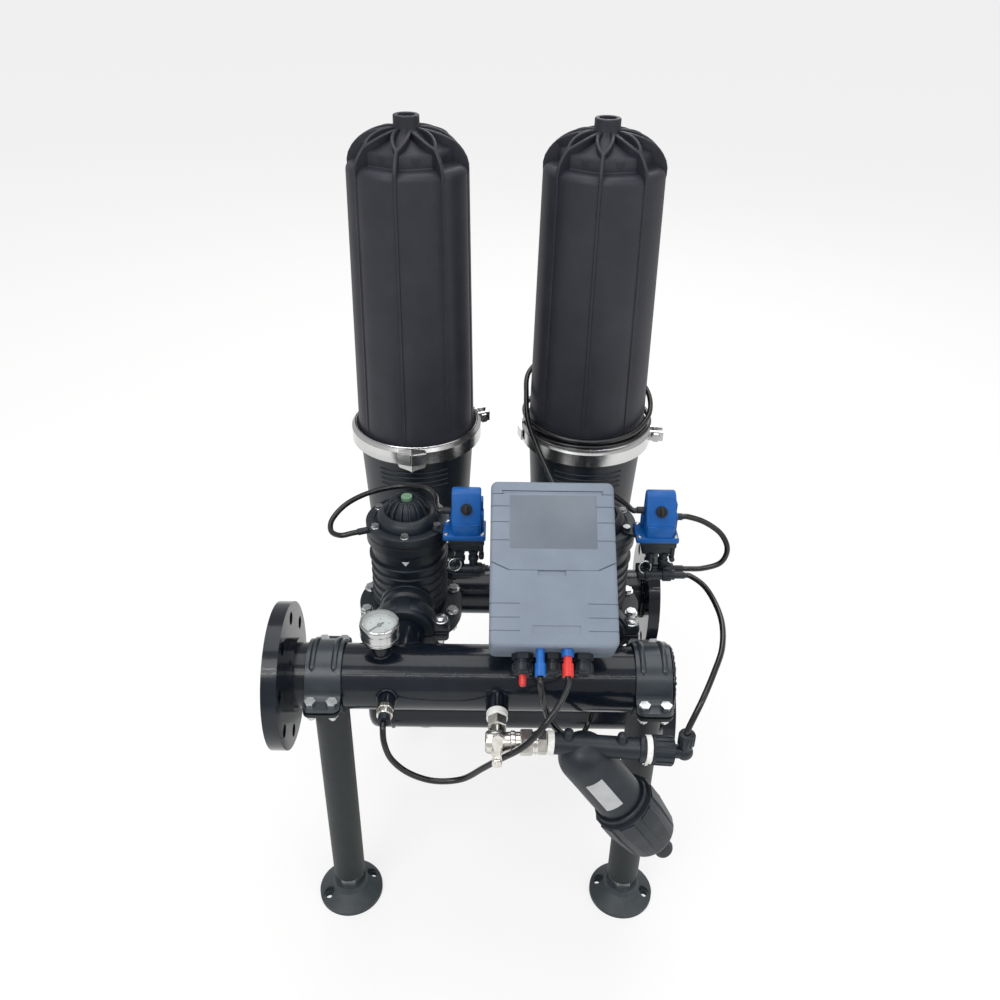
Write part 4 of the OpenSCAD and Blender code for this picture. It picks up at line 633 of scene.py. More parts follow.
def levels(bm, outline, heights, place=None):
    # stacks one outline at several heights, each with its inset, or its side and end insets
    xs, ys = [p[0] for p in outline], [p[1] for p in outline]
    mid = ((min(xs) + max(xs)) / 2, (min(ys) + max(ys)) / 2)
    half = ((max(xs) - min(xs)) / 2, (max(ys) - min(ys)) / 2)
    rings = []
    for z, *inset in heights:
        sx, sy = (half[0] - inset[0]) / half[0], (half[1] - inset[-1]) / half[1]
        rings.append([((mid[0] + (x - mid[0]) * sx) * mm, (mid[1] + (y - mid[1]) * sy) * mm, z * mm) for x,
                      y in outline])
    skin(bm, rings, place=place)


# controller: moulded case with a hinged flap, on the tilted face
control = {"width": 162.0, "length": 222.0, "depth": 58.0, "corner": 10.0, "flapHalf": 80.9, "flapLow": 99.0,
           "hinge": 206.0, "flapT": 4.0, "notch": 66.0, "notchIn": 2.4, "gap": 0.4, "grooveW": 1.4,
           "grooveD": 1.1,
           "lowGrooves": (55, 37, 20), "highGrooves": (186, 164, 139), "label": (-56, 128, 57, 202)}
casePlace = turned((78, -241, 590), x=35)
c = control
half = c["width"] / 2
outline = rounded([(-half, 0), (half, 0), (half, c["length"]), (-half, c["length"])], c["corner"], 6)
flapTop = c["hinge"] - c["notchIn"]  # the lid's ends stop short, so that they clear the case as it opens
flapLine = [(-c["flapHalf"], flapTop), (-c["flapHalf"], c["flapLow"] + 11),
            (23 - c["flapHalf"], c["flapLow"]), (c["flapHalf"] - 23, c["flapLow"]),
            (c["flapHalf"], c["flapLow"] + 11), (c["flapHalf"], flapTop), (c["notch"], flapTop),
            (c["notch"], c["hinge"] - 1), (-c["notch"], c["hinge"] - 1), (-c["notch"], flapTop)]


def sideGroove(bm, y, reach, sign):
    # follows the rounded edge of the case and runs on down its side
    d, w = c["grooveD"], c["grooveW"] / 2
    shape = [(half - reach, -d), (half - 5, -d), (half - 2.3, -1.2 * d - 0.6), (half - 1.3, -3.4),
             (half - d, -6), (half - d, -26), (half + 4, -26), (half + 4, 4), (half - reach, 4)]
    skin(bm, [[(sign * x * mm, (y + s) * mm, z * mm) for x, z in shape] for s in (-w, w)])


bm = bmesh.new()
levels(bm, outline, ((-c["depth"], 2.5), (-c["depth"] + 0.7, 0.7), (-c["depth"] + 2.5, 0), (-5, 0),
                     (-2.6, 0.5), (-1.1, 1.7), (-0.25, 3.4), (0, 5.2)))
cut = bmesh.new()
g = c["gap"]
grown = [(-c["notch"], c["hinge"] + 2.4), (-c["notch"], flapTop + g), (-90, flapTop + g),
         (-90, c["flapLow"] + 11 - g), (-c["flapHalf"], c["flapLow"] + 11 - g),
         (23 - c["flapHalf"], c["flapLow"] - g), (c["flapHalf"] - 23, c["flapLow"] - g),
         (c["flapHalf"], c["flapLow"] + 11 - g), (90, c["flapLow"] + 11 - g), (90, flapTop + g),
         (c["notch"], flapTop + g), (c["notch"], c["hinge"] + 2.4)]
skin(cut, [[(x * mm, y * mm, z * mm) for x, y in grown] for z in (-c["flapT"] - g, 6)])
bm = cutAway(bm, cut)
cut = bmesh.new()
barrel = turned((0, c["hinge"], -2), y=90)
lathe(cut, ((0.002, -c["notch"]), (2.2, -c["notch"]), (2.2, c["notch"]), (0.002, c["notch"])), 24, barrel)
bm = cutAway(bm, cut)
cut = bmesh.new()
for rows, reach in ((c["lowGrooves"], 38), (c["highGrooves"], 6)):
    for y in rows:
        for sign in (-1, 1):
            sideGroove(cut, y, reach, sign)
bm = cutAway(bm, cut)
for low, high in (((-27, 17, -0.9), (33, 27, 3)), ((-20, 91.5, -2.4),
                                                   (16, 99, 3))):  # plate recess, finger notch
    cut = bmesh.new()
    box(cut, low, high)
    bm = cutAway(bm, cut)
bmesh.ops.transform(bm, matrix=casePlace, verts=bm.verts)
addPiece("controllerShell", tidy(bm), "abs", replaces=("controller_case",), angle=30)

bm = bmesh.new()
levels(bm, flapLine, ((-c["flapT"], 0.2, 0.2), (-c["flapT"] + 0.2, 0.05, 0), (-2.6, 0.5, 0), (-1.1, 1.7, 0),
                      (-0.7, 2.4, 0.1), (-0.25, 3.4, 0.4), (0, 5.2, 0.9)))
cut = bmesh.new()
for y in c["highGrooves"]:
    for sign in (-1, 1):
        sideGroove(cut, y, 24, sign)
bm = cutAway(bm, cut)
lathe(bm, ((0.002, -65.6), (2, -65.6), (2, 65.6), (0.002, 65.6)), 24, barrel)
bmesh.ops.transform(bm, matrix=casePlace, verts=bm.verts)
addPiece("controllerLid", tidy(bm), "abs", "flap", ("controller_flap",), 30)

bm = bmesh.new()
x0, y0, x1, y1 = c["label"]
levels(bm, rounded([(x0, y0), (x1, y0), (x1, y1), (x0, y1)], 2, 3), ((-0.3, 0), (0.16, 0), (0.25, 0.15)),
       casePlace)
addPiece("controllerLabel", tidy(bm), "absLabel", "flap")
print("controller done")


def alongX(place=(0, 0, 0)):
    # outline axes become Y and Z, heights run along X
    return Matrix.Translation(Vector(place) * mm) @ Matrix(((0, 0, 1, 0), (1, 0, 0, 0), (0, 1, 0, 0),
                                                            (0, 0, 0, 1)))


# bonnets: rim, raised ring, ribbed dome with a hole for the indicator
bonnet = {"low": 586.5, "top": 600.5, "rim": 60.5, "domeTop": 636.0, "ribs": 14, "ribWide": 3.6}
bm = bmesh.new()
for x in unitX:
    place = turned((x, valveY, 0))
    b = bonnet
    lathe(bm, ((37.5, b["low"]), (b["rim"] - 0.8, b["low"]), (b["rim"], b["low"] + 0.8),
               (b["rim"], b["top"] - 1.2), (b["rim"] - 0.4, b["top"] - 0.4), (b["rim"] - 1.2, b["top"]),
               (48.2, b["top"]), (47.6, b["top"] - 1.4), (45.4, b["top"] - 1.4), (44.9, b["top"] + 1),
               (44.2, b["top"] + 5), (42.6, b["top"] + 8.8), (39.8, b["top"] + 11.8), (36.6, b["top"] + 13.8),
               (33.4, b["top"] + 14.5), (31.6, b["top"] + 13.6), (28.6, b["top"] + 13), (27.6, b["top"] + 17),
               (26, b["top"] + 21.5), (23.2, b["top"] + 26.5), (19.6, b["top"] + 30.8), (17.2, b["top"] + 33),
               (17, b["domeTop"] - 1.4), (16, b["domeTop"] - 0.3), (13.2, b["domeTop"]),
               (11.9, b["domeTop"] - 0.6), (11.6, b["domeTop"] - 3), (8.5, b["domeTop"] - 3),
               (8.3, b["domeTop"] - 3.4), (8.3, b["top"] + 11), (24, b["top"] + 7), (24, b["top"] - 2),
               (37.5, b["top"] - 3), (37.5, b["low"])), 96, place)  # hollow below, for the stem's plates
    rib = bmesh.new()
    line = ((32.4, 13), (31.6, 17.4), (29.8, 22.4), (26.8, 27.6), (22.4, 32), (18, 34.6))
    rings = []
    for k, (r, z) in enumerate(line):
        w = b["ribWide"] / 2 * (1 - 0.1 * k)
        rings.append([((r - 26 + d) * mm, s * mm, (b["top"] + z) * mm)
                      for d, s in ((-3, -w - 0.6), (-3, w + 0.6), (-0.6, w), (0, w - 0.7), (0, 0.7 - w),
                                   (-0.6, -w))])
    skin(rib, rings)
    ringOf(bm, rib, b["ribs"], 26, place)
addPiece("valveBonnetCaps", tidy(bm), "valve", replaces=("valve_bonnets",), angle=32)


# washers under the bolt heads, one baked ring for each bolt circle
def washerPart(bore, rim, thick):
    part = bmesh.new()
    lathe(part, ((bore, 0), (rim - 0.3, 0), (rim, 0.3), (rim, thick - 0.4), (rim - 0.4, thick), (bore, thick),
                 (bore, 0)), 24)
    return part


bm = bmesh.new()
for x in unitX:
    ringOf(bm, washerPart(3.2, 6.3, 1.2), 6, 51, turned((x, valveY, 600.45), z=30), "zinc")
    ringOf(bm, washerPart(4.2, 9.6, 1.6), 8, 70, turned((x, valveY, 448.95), z=22.5), "zinc")
addPiece("valveWashers", tidy(bm), "zinc")

# valve bodies: rings round the body, a hood over the inlet neck and a painted triangle
body = {"r": 54.0, "ringZ": (543, 526, 511, 496, 481, 466), "ringProud": 2.6, "ringH": 3.4, "hoodR": 38.5}
bm = bmesh.new()
for x in unitX:
    for k, z in enumerate(body["ringZ"]):
        out = body["ringProud"] + (1.6 if k == 0 else 0)
        h = body["ringH"] / 2 + (0.8 if k == 0 else 0)
        lathe(bm, ((53, z - h - 1), (body["r"] + out - 0.7, z - h), (body["r"] + out, z - h + 0.8),
                   (body["r"] + out, z + h - 0.8), (body["r"] + out - 0.7, z + h), (53, z + h + 1),
                   (53, z - h - 1)), 72,
              turned((x, valveY, 0)))
    for sign in (1, -1):
        neck = turned((x, valveY, 480), x=90 if sign > 0 else -90)
        lathe(bm, ((30.3, 50), (body["hoodR"], 50), (body["hoodR"], 66), (body["hoodR"] - 0.8, 69),
                   (body["hoodR"] - 3, 71), (34, 72.5), (33.4, 76), (32.6, 78), (30.3, 78.6), (30.3, 50)), 64,
              neck)
        lathe(bm, ((34, 50), (body["hoodR"] + 1.6, 50), (body["hoodR"] + 1.6, 57),
                   (body["hoodR"] + 0.8, 58.2), (34, 58.6), (34, 50)), 64, neck)
addPiece("valveBodyRings", tidy(bm), "valve", angle=32)
bm = bmesh.new()
for x in unitX:
    # down-pointing flow mark, bent to the body
    for a, b in (((-5.4, 560), (0, 560)), ((0, 560), (5.4, 560))):
        tri = [a, b, (0, 552.5)]
        rings = []
        for r in (53.5, 54.3):
            rings.append([((x + r * math.sin(px / 54)) * mm, (valveY - r * math.cos(px / 54)) * mm, z * mm)
                          for px, z in tri])
        skin(bm, rings)
addPiece("valveFlowMarks", tidy(bm), "mark")

# grooved pipe couplings: two cast halves with arms that sweep down to the bolt pads
joint = {"r": 43.0, "w": 38.0, "stub": 30.4, "boltX": 52.0, "armZ": 11.0}
jointPlaces = []
for x in unitX:
    jointPlaces += [turned((x, -78, 480), x=90), turned((x, 122, 480), x=90),
                    turned((x, filterY, 370))]
armLine = rounded([(24, 1), (63.5, 1), (63.5, 14), (49, 14.2), (43.5, 18), (38.5, 26), (31, 34.5), (20, 40.8),
                   (8, 42.4), (8, 34)], 3.5, 3)
bm = bmesh.new()
for place in jointPlaces:
    for half in (0, 180):
        side = place @ turned(z=half)
        h = joint["w"] / 2
        shell = ((joint["stub"], -h), (38.5, -h), (41.4, -h + 1.2), (joint["r"], -h + 4.5),
                 (joint["r"], h - 4.5),
               (41.4, h - 1.2), (38.5, h), (joint["stub"], h))
        arc(bm, shell, 32, side, 2, 176)
        for sign in (0, 180):
            arm = side @ turned(y=sign)
            levels(bm, armLine, ((-joint["armZ"], 2.2), (-joint["armZ"] + 0.7, 0.8),
                                 (-joint["armZ"] + 2.2, 0), (joint["armZ"] - 2.2, 0),
                                 (joint["armZ"] - 0.7, 0.8), (joint["armZ"], 2.2)), arm)
addPiece("couplingHousings", tidy(bm), "valve", replaces=("pipe_couplings",), angle=35)
bm = bmesh.new()
for place in jointPlaces:
    for x in (-joint["boltX"], joint["boltX"]):
        for sign in (-90, 90):
            spot = place @ turned((x, 0, 0), x=sign)
            lathe(bm, ((4.2, 14), (10.4, 14), (10.8, 14.5), (10.8, 15.6), (10.2, 16), (9, 16.2), (8.6, 18.6),
                       (6.8, 20.6), (4, 21.4), (0.002, 21.6)), 32, spot)
addPiece("couplingBoltCaps", tidy(bm), "zinc")
print("valves and couplings done")

# pilot coils: flanged foot, front box, sloped face, stepped right side
pilot = {"dx": 87.0, "y": -12.0, "half": 20.5}
pilotLine = rounded([(-19, 604), (-19, 627), (1, 667), (9, 670), (16, 668), (19, 660), (19, 604)], 2.5, 3)
bm, metal, dark = bmesh.new(), bmesh.new(), bmesh.new()
for i, x in enumerate(unitX):
    at = (x + pilot["dx"], pilot["y"], 0)
    h = pilot["half"]
    levels(bm, pilotLine, ((-h, 2.4), (-h + 0.7, 0.8), (-h + 2.4, 0), (h - 2.4, 0), (h - 0.7, 0.8), (h, 2.4)),
           alongX(at))
    spot = turned(at)
    box(bm, (-33, -23.5, 601.6), (27.5, 19.5, 610), 2, spot)
    box(bm, (-18.5, -21.2, 606), (17.5, -10, 627.5), 1.2, spot)
    box(bm, (18, -10, 607), (24.6, 5, 640), 1.6, spot)
    box(bm, (18, -2, 634), (23.6, 14, 655), 1.6, spot)
    box(bm, (-24, 4, 607), (-18, 15, 630), 1.6, spot)
    for sx in (-28, 22.6):
        for sy in (-18, 14):
            lathe(metal, ((0.002, 0), (3.6, 0), (3.6, 0.8), (3, 1.8), (1.2, 2.4), (0.002, 2.5)), 20,
                  turned((at[0] + sx, at[1] + sy, 609.8)))
    # black foot: bracket to the bonnet bolt, skirt, hook, two stems and a ribbed tee
    box(dark, (-25.6, -20.4, 592), (25.6, 19, 601.8), 1.4, spot)
    box(dark, (-22, -17, 578.5), (22, 18, 594), 2.2, spot)
    plate = rounded([(-49, 1.5), (-49, 15), (-30, 15), (-20, 10), (-20, -16), (-28, -12), (-38, -2)], 6, 4)
    levels(dark, plate, ((600.6, 0.2), (600.9, 0), (603.2, 0), (603.5, 0.3)), spot)
    box(dark, (18.5, -19, 572), (24.5, -11, 594), 1.6, spot)
    lathe(dark, ((0.002, -6), (3.2, -6), (3.8, -5.4), (3.8, 5.4), (3.2, 6), (0.002, 6)), 20,
          turned((at[0] + 21.5, at[1] - 15, 571.8), x=90))
    for sx in (-9, 10):
        lathe(dark, ((0.002, 545), (6, 545), (6, 562), (7.4, 563), (7.4, 568), (6, 569), (6, 574), (7, 575),
                     (7, 580), (0.002, 580)), 28, turned((at[0] + sx, at[1] - 12, 0)))
    for ty in (-14,) if i == 0 else (-22, -6):
        tee = turned((at[0], at[1] + ty, 547), y=90)
        lathe(dark, ((0.002, -26), (6.4, -26), (7, -25), (7, -16), (8.6, -15), (8.6, -9), (7.2, -8), (7.2, 9),
                     (8.8, 10), (8.8, 22), (7.6, 23.2), (7.6, 27), (0.002, 27)), 32, tee)
        for low, high, proud, r in ((10.4, 21.6, 0.8, 8.8), (-14.8, -9.2, 0.6, 8.6)):
            rib = bmesh.new()
            box(rib, (-1, -0.8, low), (proud, 0.8, high), 0.3)
            ringOf(dark, rib, 14, r, tee)
    box(dark, (-20, -26, 539.5), (20, -2, 547), 2, spot)
    loop = turned((at[0] - 16, at[1] - 22, 560), x=70, z=14)
    lathe(metal, [(9 + 0.9 * math.cos(a * math.pi / 4), 0.9 * math.sin(a * math.pi / 4)) for a in range(9)],
          40, loop)
addPiece("pilotCoils", tidy(bm), "blue", replaces=("solenoid_coils",), angle=32)
addPiece("pilotScrews", tidy(metal), "zinc")
addPiece("pilotFeet", tidy(dark), "valve", replaces=("solenoid_bases",))
knobTilt = math.degrees(math.atan2(41, 20))
for i, side in enumerate(sides):
    bm = bmesh.new()
    place = turned((unitX[i] + pilot["dx"], pilot["y"] - 9, 646.5), x=knobTilt)
    lathe(bm, ((0.002, 0.3), (7.2, 0.3), (7.4, 0.8), (7.4, 5.6), (6.6, 7), (5.6, 7.3), (5.2, 6.4),
               (0.002, 6.3)), 40, place)
    rib = bmesh.new()
    box(rib, (-1.2, -0.7, 0.6), (0.6, 0.7, 6.4), 0.3)
    ringOf(bm, rib, 18, 7.4, place, "rubber")
    box(bm, (-1.7, -5.4, 6), (1.7, 5.4, 10.6), 0.7, place)
    addPiece("overrideKnob_" + side, tidy(bm), "rubber", "knob_" + side, ("override_knob_" + side,),
             35)
print("pilots done")


def bead(bm, points, radius, sides=8):
    # closed weld bead, a little uneven
    rings = []
    count = len(points)
    for i, p in enumerate(points):
        ahead = (points[(i + 1) % count] - points[i - 1]).normalized()
        side = ahead.cross(Vector((0.31, 0.52, 0.79))).normalized()
        up = side.cross(ahead)
        r = radius * (1 + 0.2 * math.sin(i * 2.4) + 0.12 * math.sin(i * 5.1 + 1))
        angles = [2 * math.pi * k / sides for k in range(sides)]
        rings.append([p + (side * math.cos(a) + up * math.sin(a)) * r * mm for a in angles])
    skin(bm, rings + rings[:1], caps=False)


# strainer: tilted pipe, domed branch, screw cap with flats, drain plug
strainer = {"start": (73, -285, 470), "tilt": 4.5, "branchX": 105.0, "lean": 34.0, "r": 33.0, "domeZ": 27.0,
            "capLow": 118.0, "nubs": (24, 92), "flats": 8,
            "sticker": (-114, -73, 44, 98)}
s = strainer
pipePlace = turned(s["start"], y=s["tilt"])
branchPlace = pipePlace @ turned((s["branchX"] - s["start"][0], 0, 0), y=180 - s["lean"] - s["tilt"])
pipeAxis = pipePlace @ turned(y=90)
bm = bmesh.new()
lathe(bm, ((0.002, 0.6), (13, 0.6), (14, 1.4), (14, 113.5), (15, 115), (17, 115.4), (17.5, 116),
           (17.5, 123.2), (17, 123.9), (14, 124.2), (14, 130), (0.002, 130)), 48, pipeAxis)
dome = [(s["r"] * math.cos(math.radians(90 - 7.5 * k)),
         s["domeZ"] - s["r"] * math.sin(math.radians(90 - 7.5 * k)))
        for k in range(13)]
lathe(bm, dome + [(s["r"], 60), (s["r"] + 0.3, 84), (s["r"], 121), (0.002, 121)], 72, branchPlace)
for x in s["nubs"]:
    lathe(bm, ((0.002, 0), (8, 12), (7.2, 15), (6.5, 16.5), (6.5, 20), (5.8, 22.4), (4, 23.7), (0.002, 24)),
          32, pipePlace @ turned((x, 0, 0)))
addPiece("strainerShell", tidy(bm), "valve", replaces=("strainer_body",), angle=40)
bm = bmesh.new()
low = s["capLow"]
lathe(bm, ((33.2, low), (36.4, low), (37.5, low + 1), (37.5, low + 8), (37, low + 8.8), (36.2, low + 9.4),
           (37, low + 10), (40.6, low + 10.4), (41.7, low + 11.6), (41.7, low + 38), (41.2, low + 41),
           (36.9, low + 82), (35.8, low + 86), (33, low + 89.6), (24.4, low + 98.4), (22, low + 99.2),
           (11.6, low + 99.4), (11, low + 100), (11, low + 105), (0.002, low + 105)), 72, branchPlace)
panel = bmesh.new()
rings = []
for z, r, w in ((12.5, 43.6, 10.5), (38, 43.7, 10.5), (42, 43, 10.2), (62, 40.9, 9), (81, 38.8, 7.4),
                (85, 37.4, 6.6)):
    rings.append([((r - 40 + d) * mm, y * mm, (low + z) * mm)
                  for d, y in ((-4, -w), (-4, w), (-1, w), (0, w - 1.2), (0, 1.2 - w), (-1, -w))])
skin(panel, rings)
ringOf(bm, panel, s["flats"], 38.7, branchPlace)
lathe(bm, ((0.002, low + 104), (12, low + 104.4), (12.8, low + 106), (12.8, low + 128), (11.9, low + 130),
           (6.4, low + 131), (6, low + 129), (0.002, low + 129)), 48, branchPlace)
rib = bmesh.new()
box(rib, (-1, -0.9, low + 106.5), (0.5, 0.9, low + 128), 0.4)
ringOf(bm, rib, 24, 12.8, branchPlace)
addPiece("strainerLid", tidy(bm), "valve", replaces=("strainer_cap",), angle=32)
bm = bmesh.new()
a0, a1, z0, z1 = s["sticker"]
rings = []
for r in (s["r"] + 0.15, s["r"] + 0.5):
    around = [(math.radians(a0 + (a1 - a0) * k / 8), z0) for k in range(9)]
    around += [(math.radians(a1 - (a1 - a0) * k / 8), z1) for k in range(9)]
    rings.append([(r * mm * math.cos(a), r * mm * math.sin(a), z * mm) for a, z in around])
skin(bm, rings, caps=False, place=branchPlace)
for r, step in ((s["r"] + 0.15, -1), (s["r"] + 0.5, 1)):
    angles = [math.radians(a0 + (a1 - a0) * k / 8) for k in range(9)][::step]
    skin(bm, [[(r * mm * math.cos(a), r * mm * math.sin(a), z * mm) for a in angles] for z in (z0, z1)],
         False, False, branchPlace)
addPiece("strainerSticker", tidy(bm), "paper")

# thread tape and nuts along the strainer line
bm = bmesh.new()
for first, last, r in ((-1.5, 7, 15.2), (123.6, 131.5, 18)):
    lathe(bm, ((12, first), (r - 0.8, first), (r, first + 0.8), (r - 0.3, (first + last) / 2),
               (r + 0.2, last - 0.8), (r - 0.7, last), (12, last), (12, first)), 48, pipeAxis)
for x, y, reach in ((124.4, -6, 9), (126.6, -9, 6), (128.8, -7.5, 8), (130.4, -5, 6)):  # loose tape ends
    box(bm, (x - 0.9, y - 0.25, -17 - reach / 2), (x + 0.9, y + 0.25, -14), 0.1, pipePlace)
lathe(bm, ((9, -2), (13.4, -2), (14.2, -1), (13.6, 4), (14, 8.4), (12.4, 10.2), (9, 10.2), (9, -2)), 48,
      turned((9, -236, 470), x=90))
addPiece("threadTape", tidy(bm), "tape", angle=40)
bm = bmesh.new()
rib = bmesh.new()
box(rib, (-1.4, -2.2, 134), (1.1, 2.2, 158), 0.5)
ringOf(bm, rib, 14, 18, pipeAxis)
lathe(bm, ((14, 131.6), (17.6, 131.6), (18.9, 132.6), (18.9, 135), (17.8, 136), (14, 136), (14, 131.6)), 48,
      pipeAxis)
rib = bmesh.new()
box(rib, (-1.2, -1.3, 471.6), (0.9, 1.3, 486), 0.4)
ringOf(bm, rib, 12, 10, turned((247, -285, 0)))
lathe(bm, ((7, 486.4), (9.4, 486.4), (9.9, 487), (9, 488.6), (6, 489.6), (4.2, 489.8), (4.2, 486),
           (7, 486.4)), 32,
      turned((247, -285, 0)))
addPiece("fittingNuts", tidy(bm), "valve")
print("strainer done")

# ball valve: boss nipple, round body, two hexes, stem boss
ball = {"x": 9.0, "y": -285.0, "z": 470.0}
bm = bmesh.new()
side = turned((ball["x"], 0, ball["z"]), x=90)
lathe(bm, ((6, 236.2), (9.4, 236.2), (10, 237), (10, 248), (0.002, 248)), 40, side)
lathe(bm, ((0.002, 246), (12.6, 246), (13.4, 247), (13.4, 262), (12.6, 263), (0.002, 263)), 6,
      side @ turned(z=30))
lathe(bm, ((0.002, 262), (10, 262), (11, 264), (11, 285), (0.002, 285)), 40, side)
line = turned((0, ball["y"], ball["z"]), y=90)
lathe(bm, ((0.002, -6), (11, -6), (13.4, -4.4), (14.4, -1), (14.6, 4), (14.6, 14), (13.6, 17), (12.8, 19),
           (12.8, 25), (13.6, 26), (14.4, 26.4), (14.4, 31), (13.6, 31.6), (13, 32.4), (13, 38.4),
           (0.002, 38.4)), 48, line)
lathe(bm, ((0.002, 38), (15.8, 38), (17.2, 39.4), (17.2, 52.4), (15.8, 53.8), (0.002, 53.8)), 6,
      line @ turned(z=30))
lathe(bm, ((0.002, 53), (13.4, 53), (13.4, 56), (14.6, 56.4), (14.6, 58.6), (13.4, 59), (13.4, 61),
           (0.002, 61)), 48, line)
lathe(bm, ((0.002, 60), (14.8, 60), (15.8, 61), (15.8, 70.6), (14.8, 71.6), (0.002, 72)), 6,
      line @ turned(z=30))
lathe(bm, ((3.2, 284), (8.4, 284), (8.4, 296), (7.8, 297), (7, 297.4), (7, 304.6), (6.6, 305), (3.2, 305),
           (3.2, 284)), 32, side)
addPiece("ballValveBody", tidy(bm), "nickel", replaces=("ball_valve",), angle=30)
bm = bmesh.new()
lathe(bm, ((0.002, 292), (3, 292), (3, 322.4), (2.4, 323), (0.002, 323)), 24, side)
lathe(bm, ((3, 318.2), (5.6, 318.2), (6.4, 318.8), (6.4, 321.6), (5.6, 322.2), (3, 322.2)), 6, side)
grip = rounded([(-6, 9), (6, 9), (6.2, -6), (4.2, -14), (4.2, -22), (6.4, -30), (6.4, -42), (3, -46),
                (-3, -46), (-6.4, -42), (-6.4, -30), (-4.2, -22), (-4.2, -14), (-6.2, -6)], 3, 3)
levels(bm, grip, ((314.9, 0.5), (315.3, 0), (317.6, 0), (318, 0.5)), side @ Matrix.Scale(-1, 4, (0, 1, 0)))
addPiece("ballValveGrip", tidy(bm), "nickel", "lever", ("valve_lever",), 30)

# pressure tap: nickel hex connector on the left boss
bm = bmesh.new()
side = turned((-137, 0, 470), x=90)
lathe(bm, ((8, 226.2), (10.4, 226.2), (11.4, 227), (11.4, 233), (10.4, 233.8), (8, 233.8), (8, 226.2)), 6,
      side)
lathe(bm, ((8, 234), (9.4, 234), (10, 234.6), (10, 243.4), (9.4, 244), (8, 244), (8, 234)), 40, side)
rib = bmesh.new()
box(rib, (-0.8, -0.7, 235), (0.5, 0.7, 243), 0.2)
ringOf(bm, rib, 20, 10, side, "nickel")
addPiece("tapConnector", tidy(bm), "nickel", angle=30)
print("ball valve and tap done")

# gauge: rolled bezel, white dial with a printed scale
gauge = {"x": -147.0, "y": -166.0, "floor": 557.0, "r": 22.6, "ticks": 54,
         "numbers": ("0", "4", "8", "12", "16")}
place = turned((gauge["x"], gauge["y"], gauge["floor"]))
bm = bmesh.new()
lathe(bm, ((24.8, -18), (25.6, -17), (25.6, -14.6), (25, -13.6), (24.8, -13.4), (24.8, -18)), 72, place)
lathe(bm, ((24.6, -3), (26, -2.4), (26.4, -1), (26.4, 4.4), (25.6, 6.6), (24.4, 7.6), (23.4, 7.5),
           (23.1, 6.6), (23.1, 4.4), (24.6, 4), (24.6, -3)), 72, place)
addPiece("gaugeBezel", tidy(bm), "stainless", angle=40)
bm = bmesh.new()
lathe(bm, ((10, -44), (13, -44), (13, -30), (12, -28.4), (11, -27.6), (11, -20.4), (10, -19.4), (10, -44)),
      40, place)
addPiece("gaugeNeck", tidy(bm), "enamel", angle=40)
bm = bmesh.new()
lathe(bm, ((1.6, 0.02), (gauge["r"], 0.02), (gauge["r"], 0.16), (1.6, 0.16), (1.6, 0.02)), 64, place)
addPiece("gaugeDial", tidy(bm), "dial")
bm = bmesh.new()
scale = place @ turned(z=-45)
tick = bmesh.new()
box(tick, (-1.5, -0.22, 0.14), (1.5, 0.22, 0.2))
ringOf(bm, tick, gauge["ticks"] * 4 // 3, 19.4, scale, "ink", gauge["ticks"] + 1)
for k, word in enumerate(gauge["numbers"]):
    letters = bpy.data.curves.new("dialNumber", "FONT")
    letters.body, letters.size, letters.align_x, letters.align_y = word, 5.2 * mm, "CENTER", "CENTER"
    letters.extrude = 0.03 * mm
    temp = bpy.data.objects.new("dialNumber", letters)
    bpy.context.scene.collection.objects.link(temp)
    bpy.context.view_layer.update()
    done = bpy.data.meshes.new_from_object(temp.evaluated_get(bpy.context.evaluated_depsgraph_get()))
    a = math.radians(225 - 270 * k / 4)
    done.transform(place @ turned((13.6 * math.cos(a), 13.6 * math.sin(a), 0.17)))
    bm.from_mesh(done)
    bpy.data.objects.remove(temp)
    bpy.data.meshes.remove(done)
    bpy.data.curves.remove(letters)
lathe(bm, ((21.4, 0.14), (21.8, 0.14), (21.8, 0.19), (21.4, 0.19), (21.4, 0.14)), 64, place)
addPiece("gaugeScale", tidy(bm), "ink")
print("gauge done")

# welds: uneven beads where pipes meet flanges and bosses
inlet = {"y": -166.0, "z": 468.0, "r": 44.45}
bm = bmesh.new()
for x, y, z, r, size in ((-268.6, -166, 468, 45.6, 3.4), (268.6, 21, 240, 45.6, 3.4),
                         (247.6, 130, 385, 39.2, 3), (243, -166, 468, 44.4, 2.4), (-158, 21, 240, 44.6, 2.4),
                         (-173, 130, 385, 38, 2.2)):
    bead(bm, loopOf(80, lambda a: (x + 0.5 * math.sin(a * 120 / math.pi), y + r * math.cos(a),
                                   z + r * math.sin(a))), size)


def onInlet(off):
    # how far the inlet pipe's wall stands from its axis, at this distance beside it
    return math.sqrt(max(inlet["r"] ** 2 - off ** 2, 1))


for x, r in ((-137, 12.5), (9, 13.5)):
    bead(bm, loopOf(36, lambda a: (x + r * math.cos(a), inlet["y"] - onInlet(2 + r * math.sin(a)) - 0.6,
                                   470 + r * math.sin(a))), 2.4)
bead(bm, loopOf(32, lambda a: (-147 + 13 * math.cos(a), inlet["y"] + 13 * math.sin(a),
                               inlet["z"] + onInlet(13 * math.sin(a)) + 0.5)), 2.2)
for x in unitX:
    bead(bm, loopOf(48, lambda a: (x + 31 * math.cos(a), inlet["y"] + onInlet(12 + 31 * math.sin(a)),
                                   480 + 31 * math.sin(a))), 2.8)
addPiece("weldBeads", tidy(bm), "enamel", angle=60)

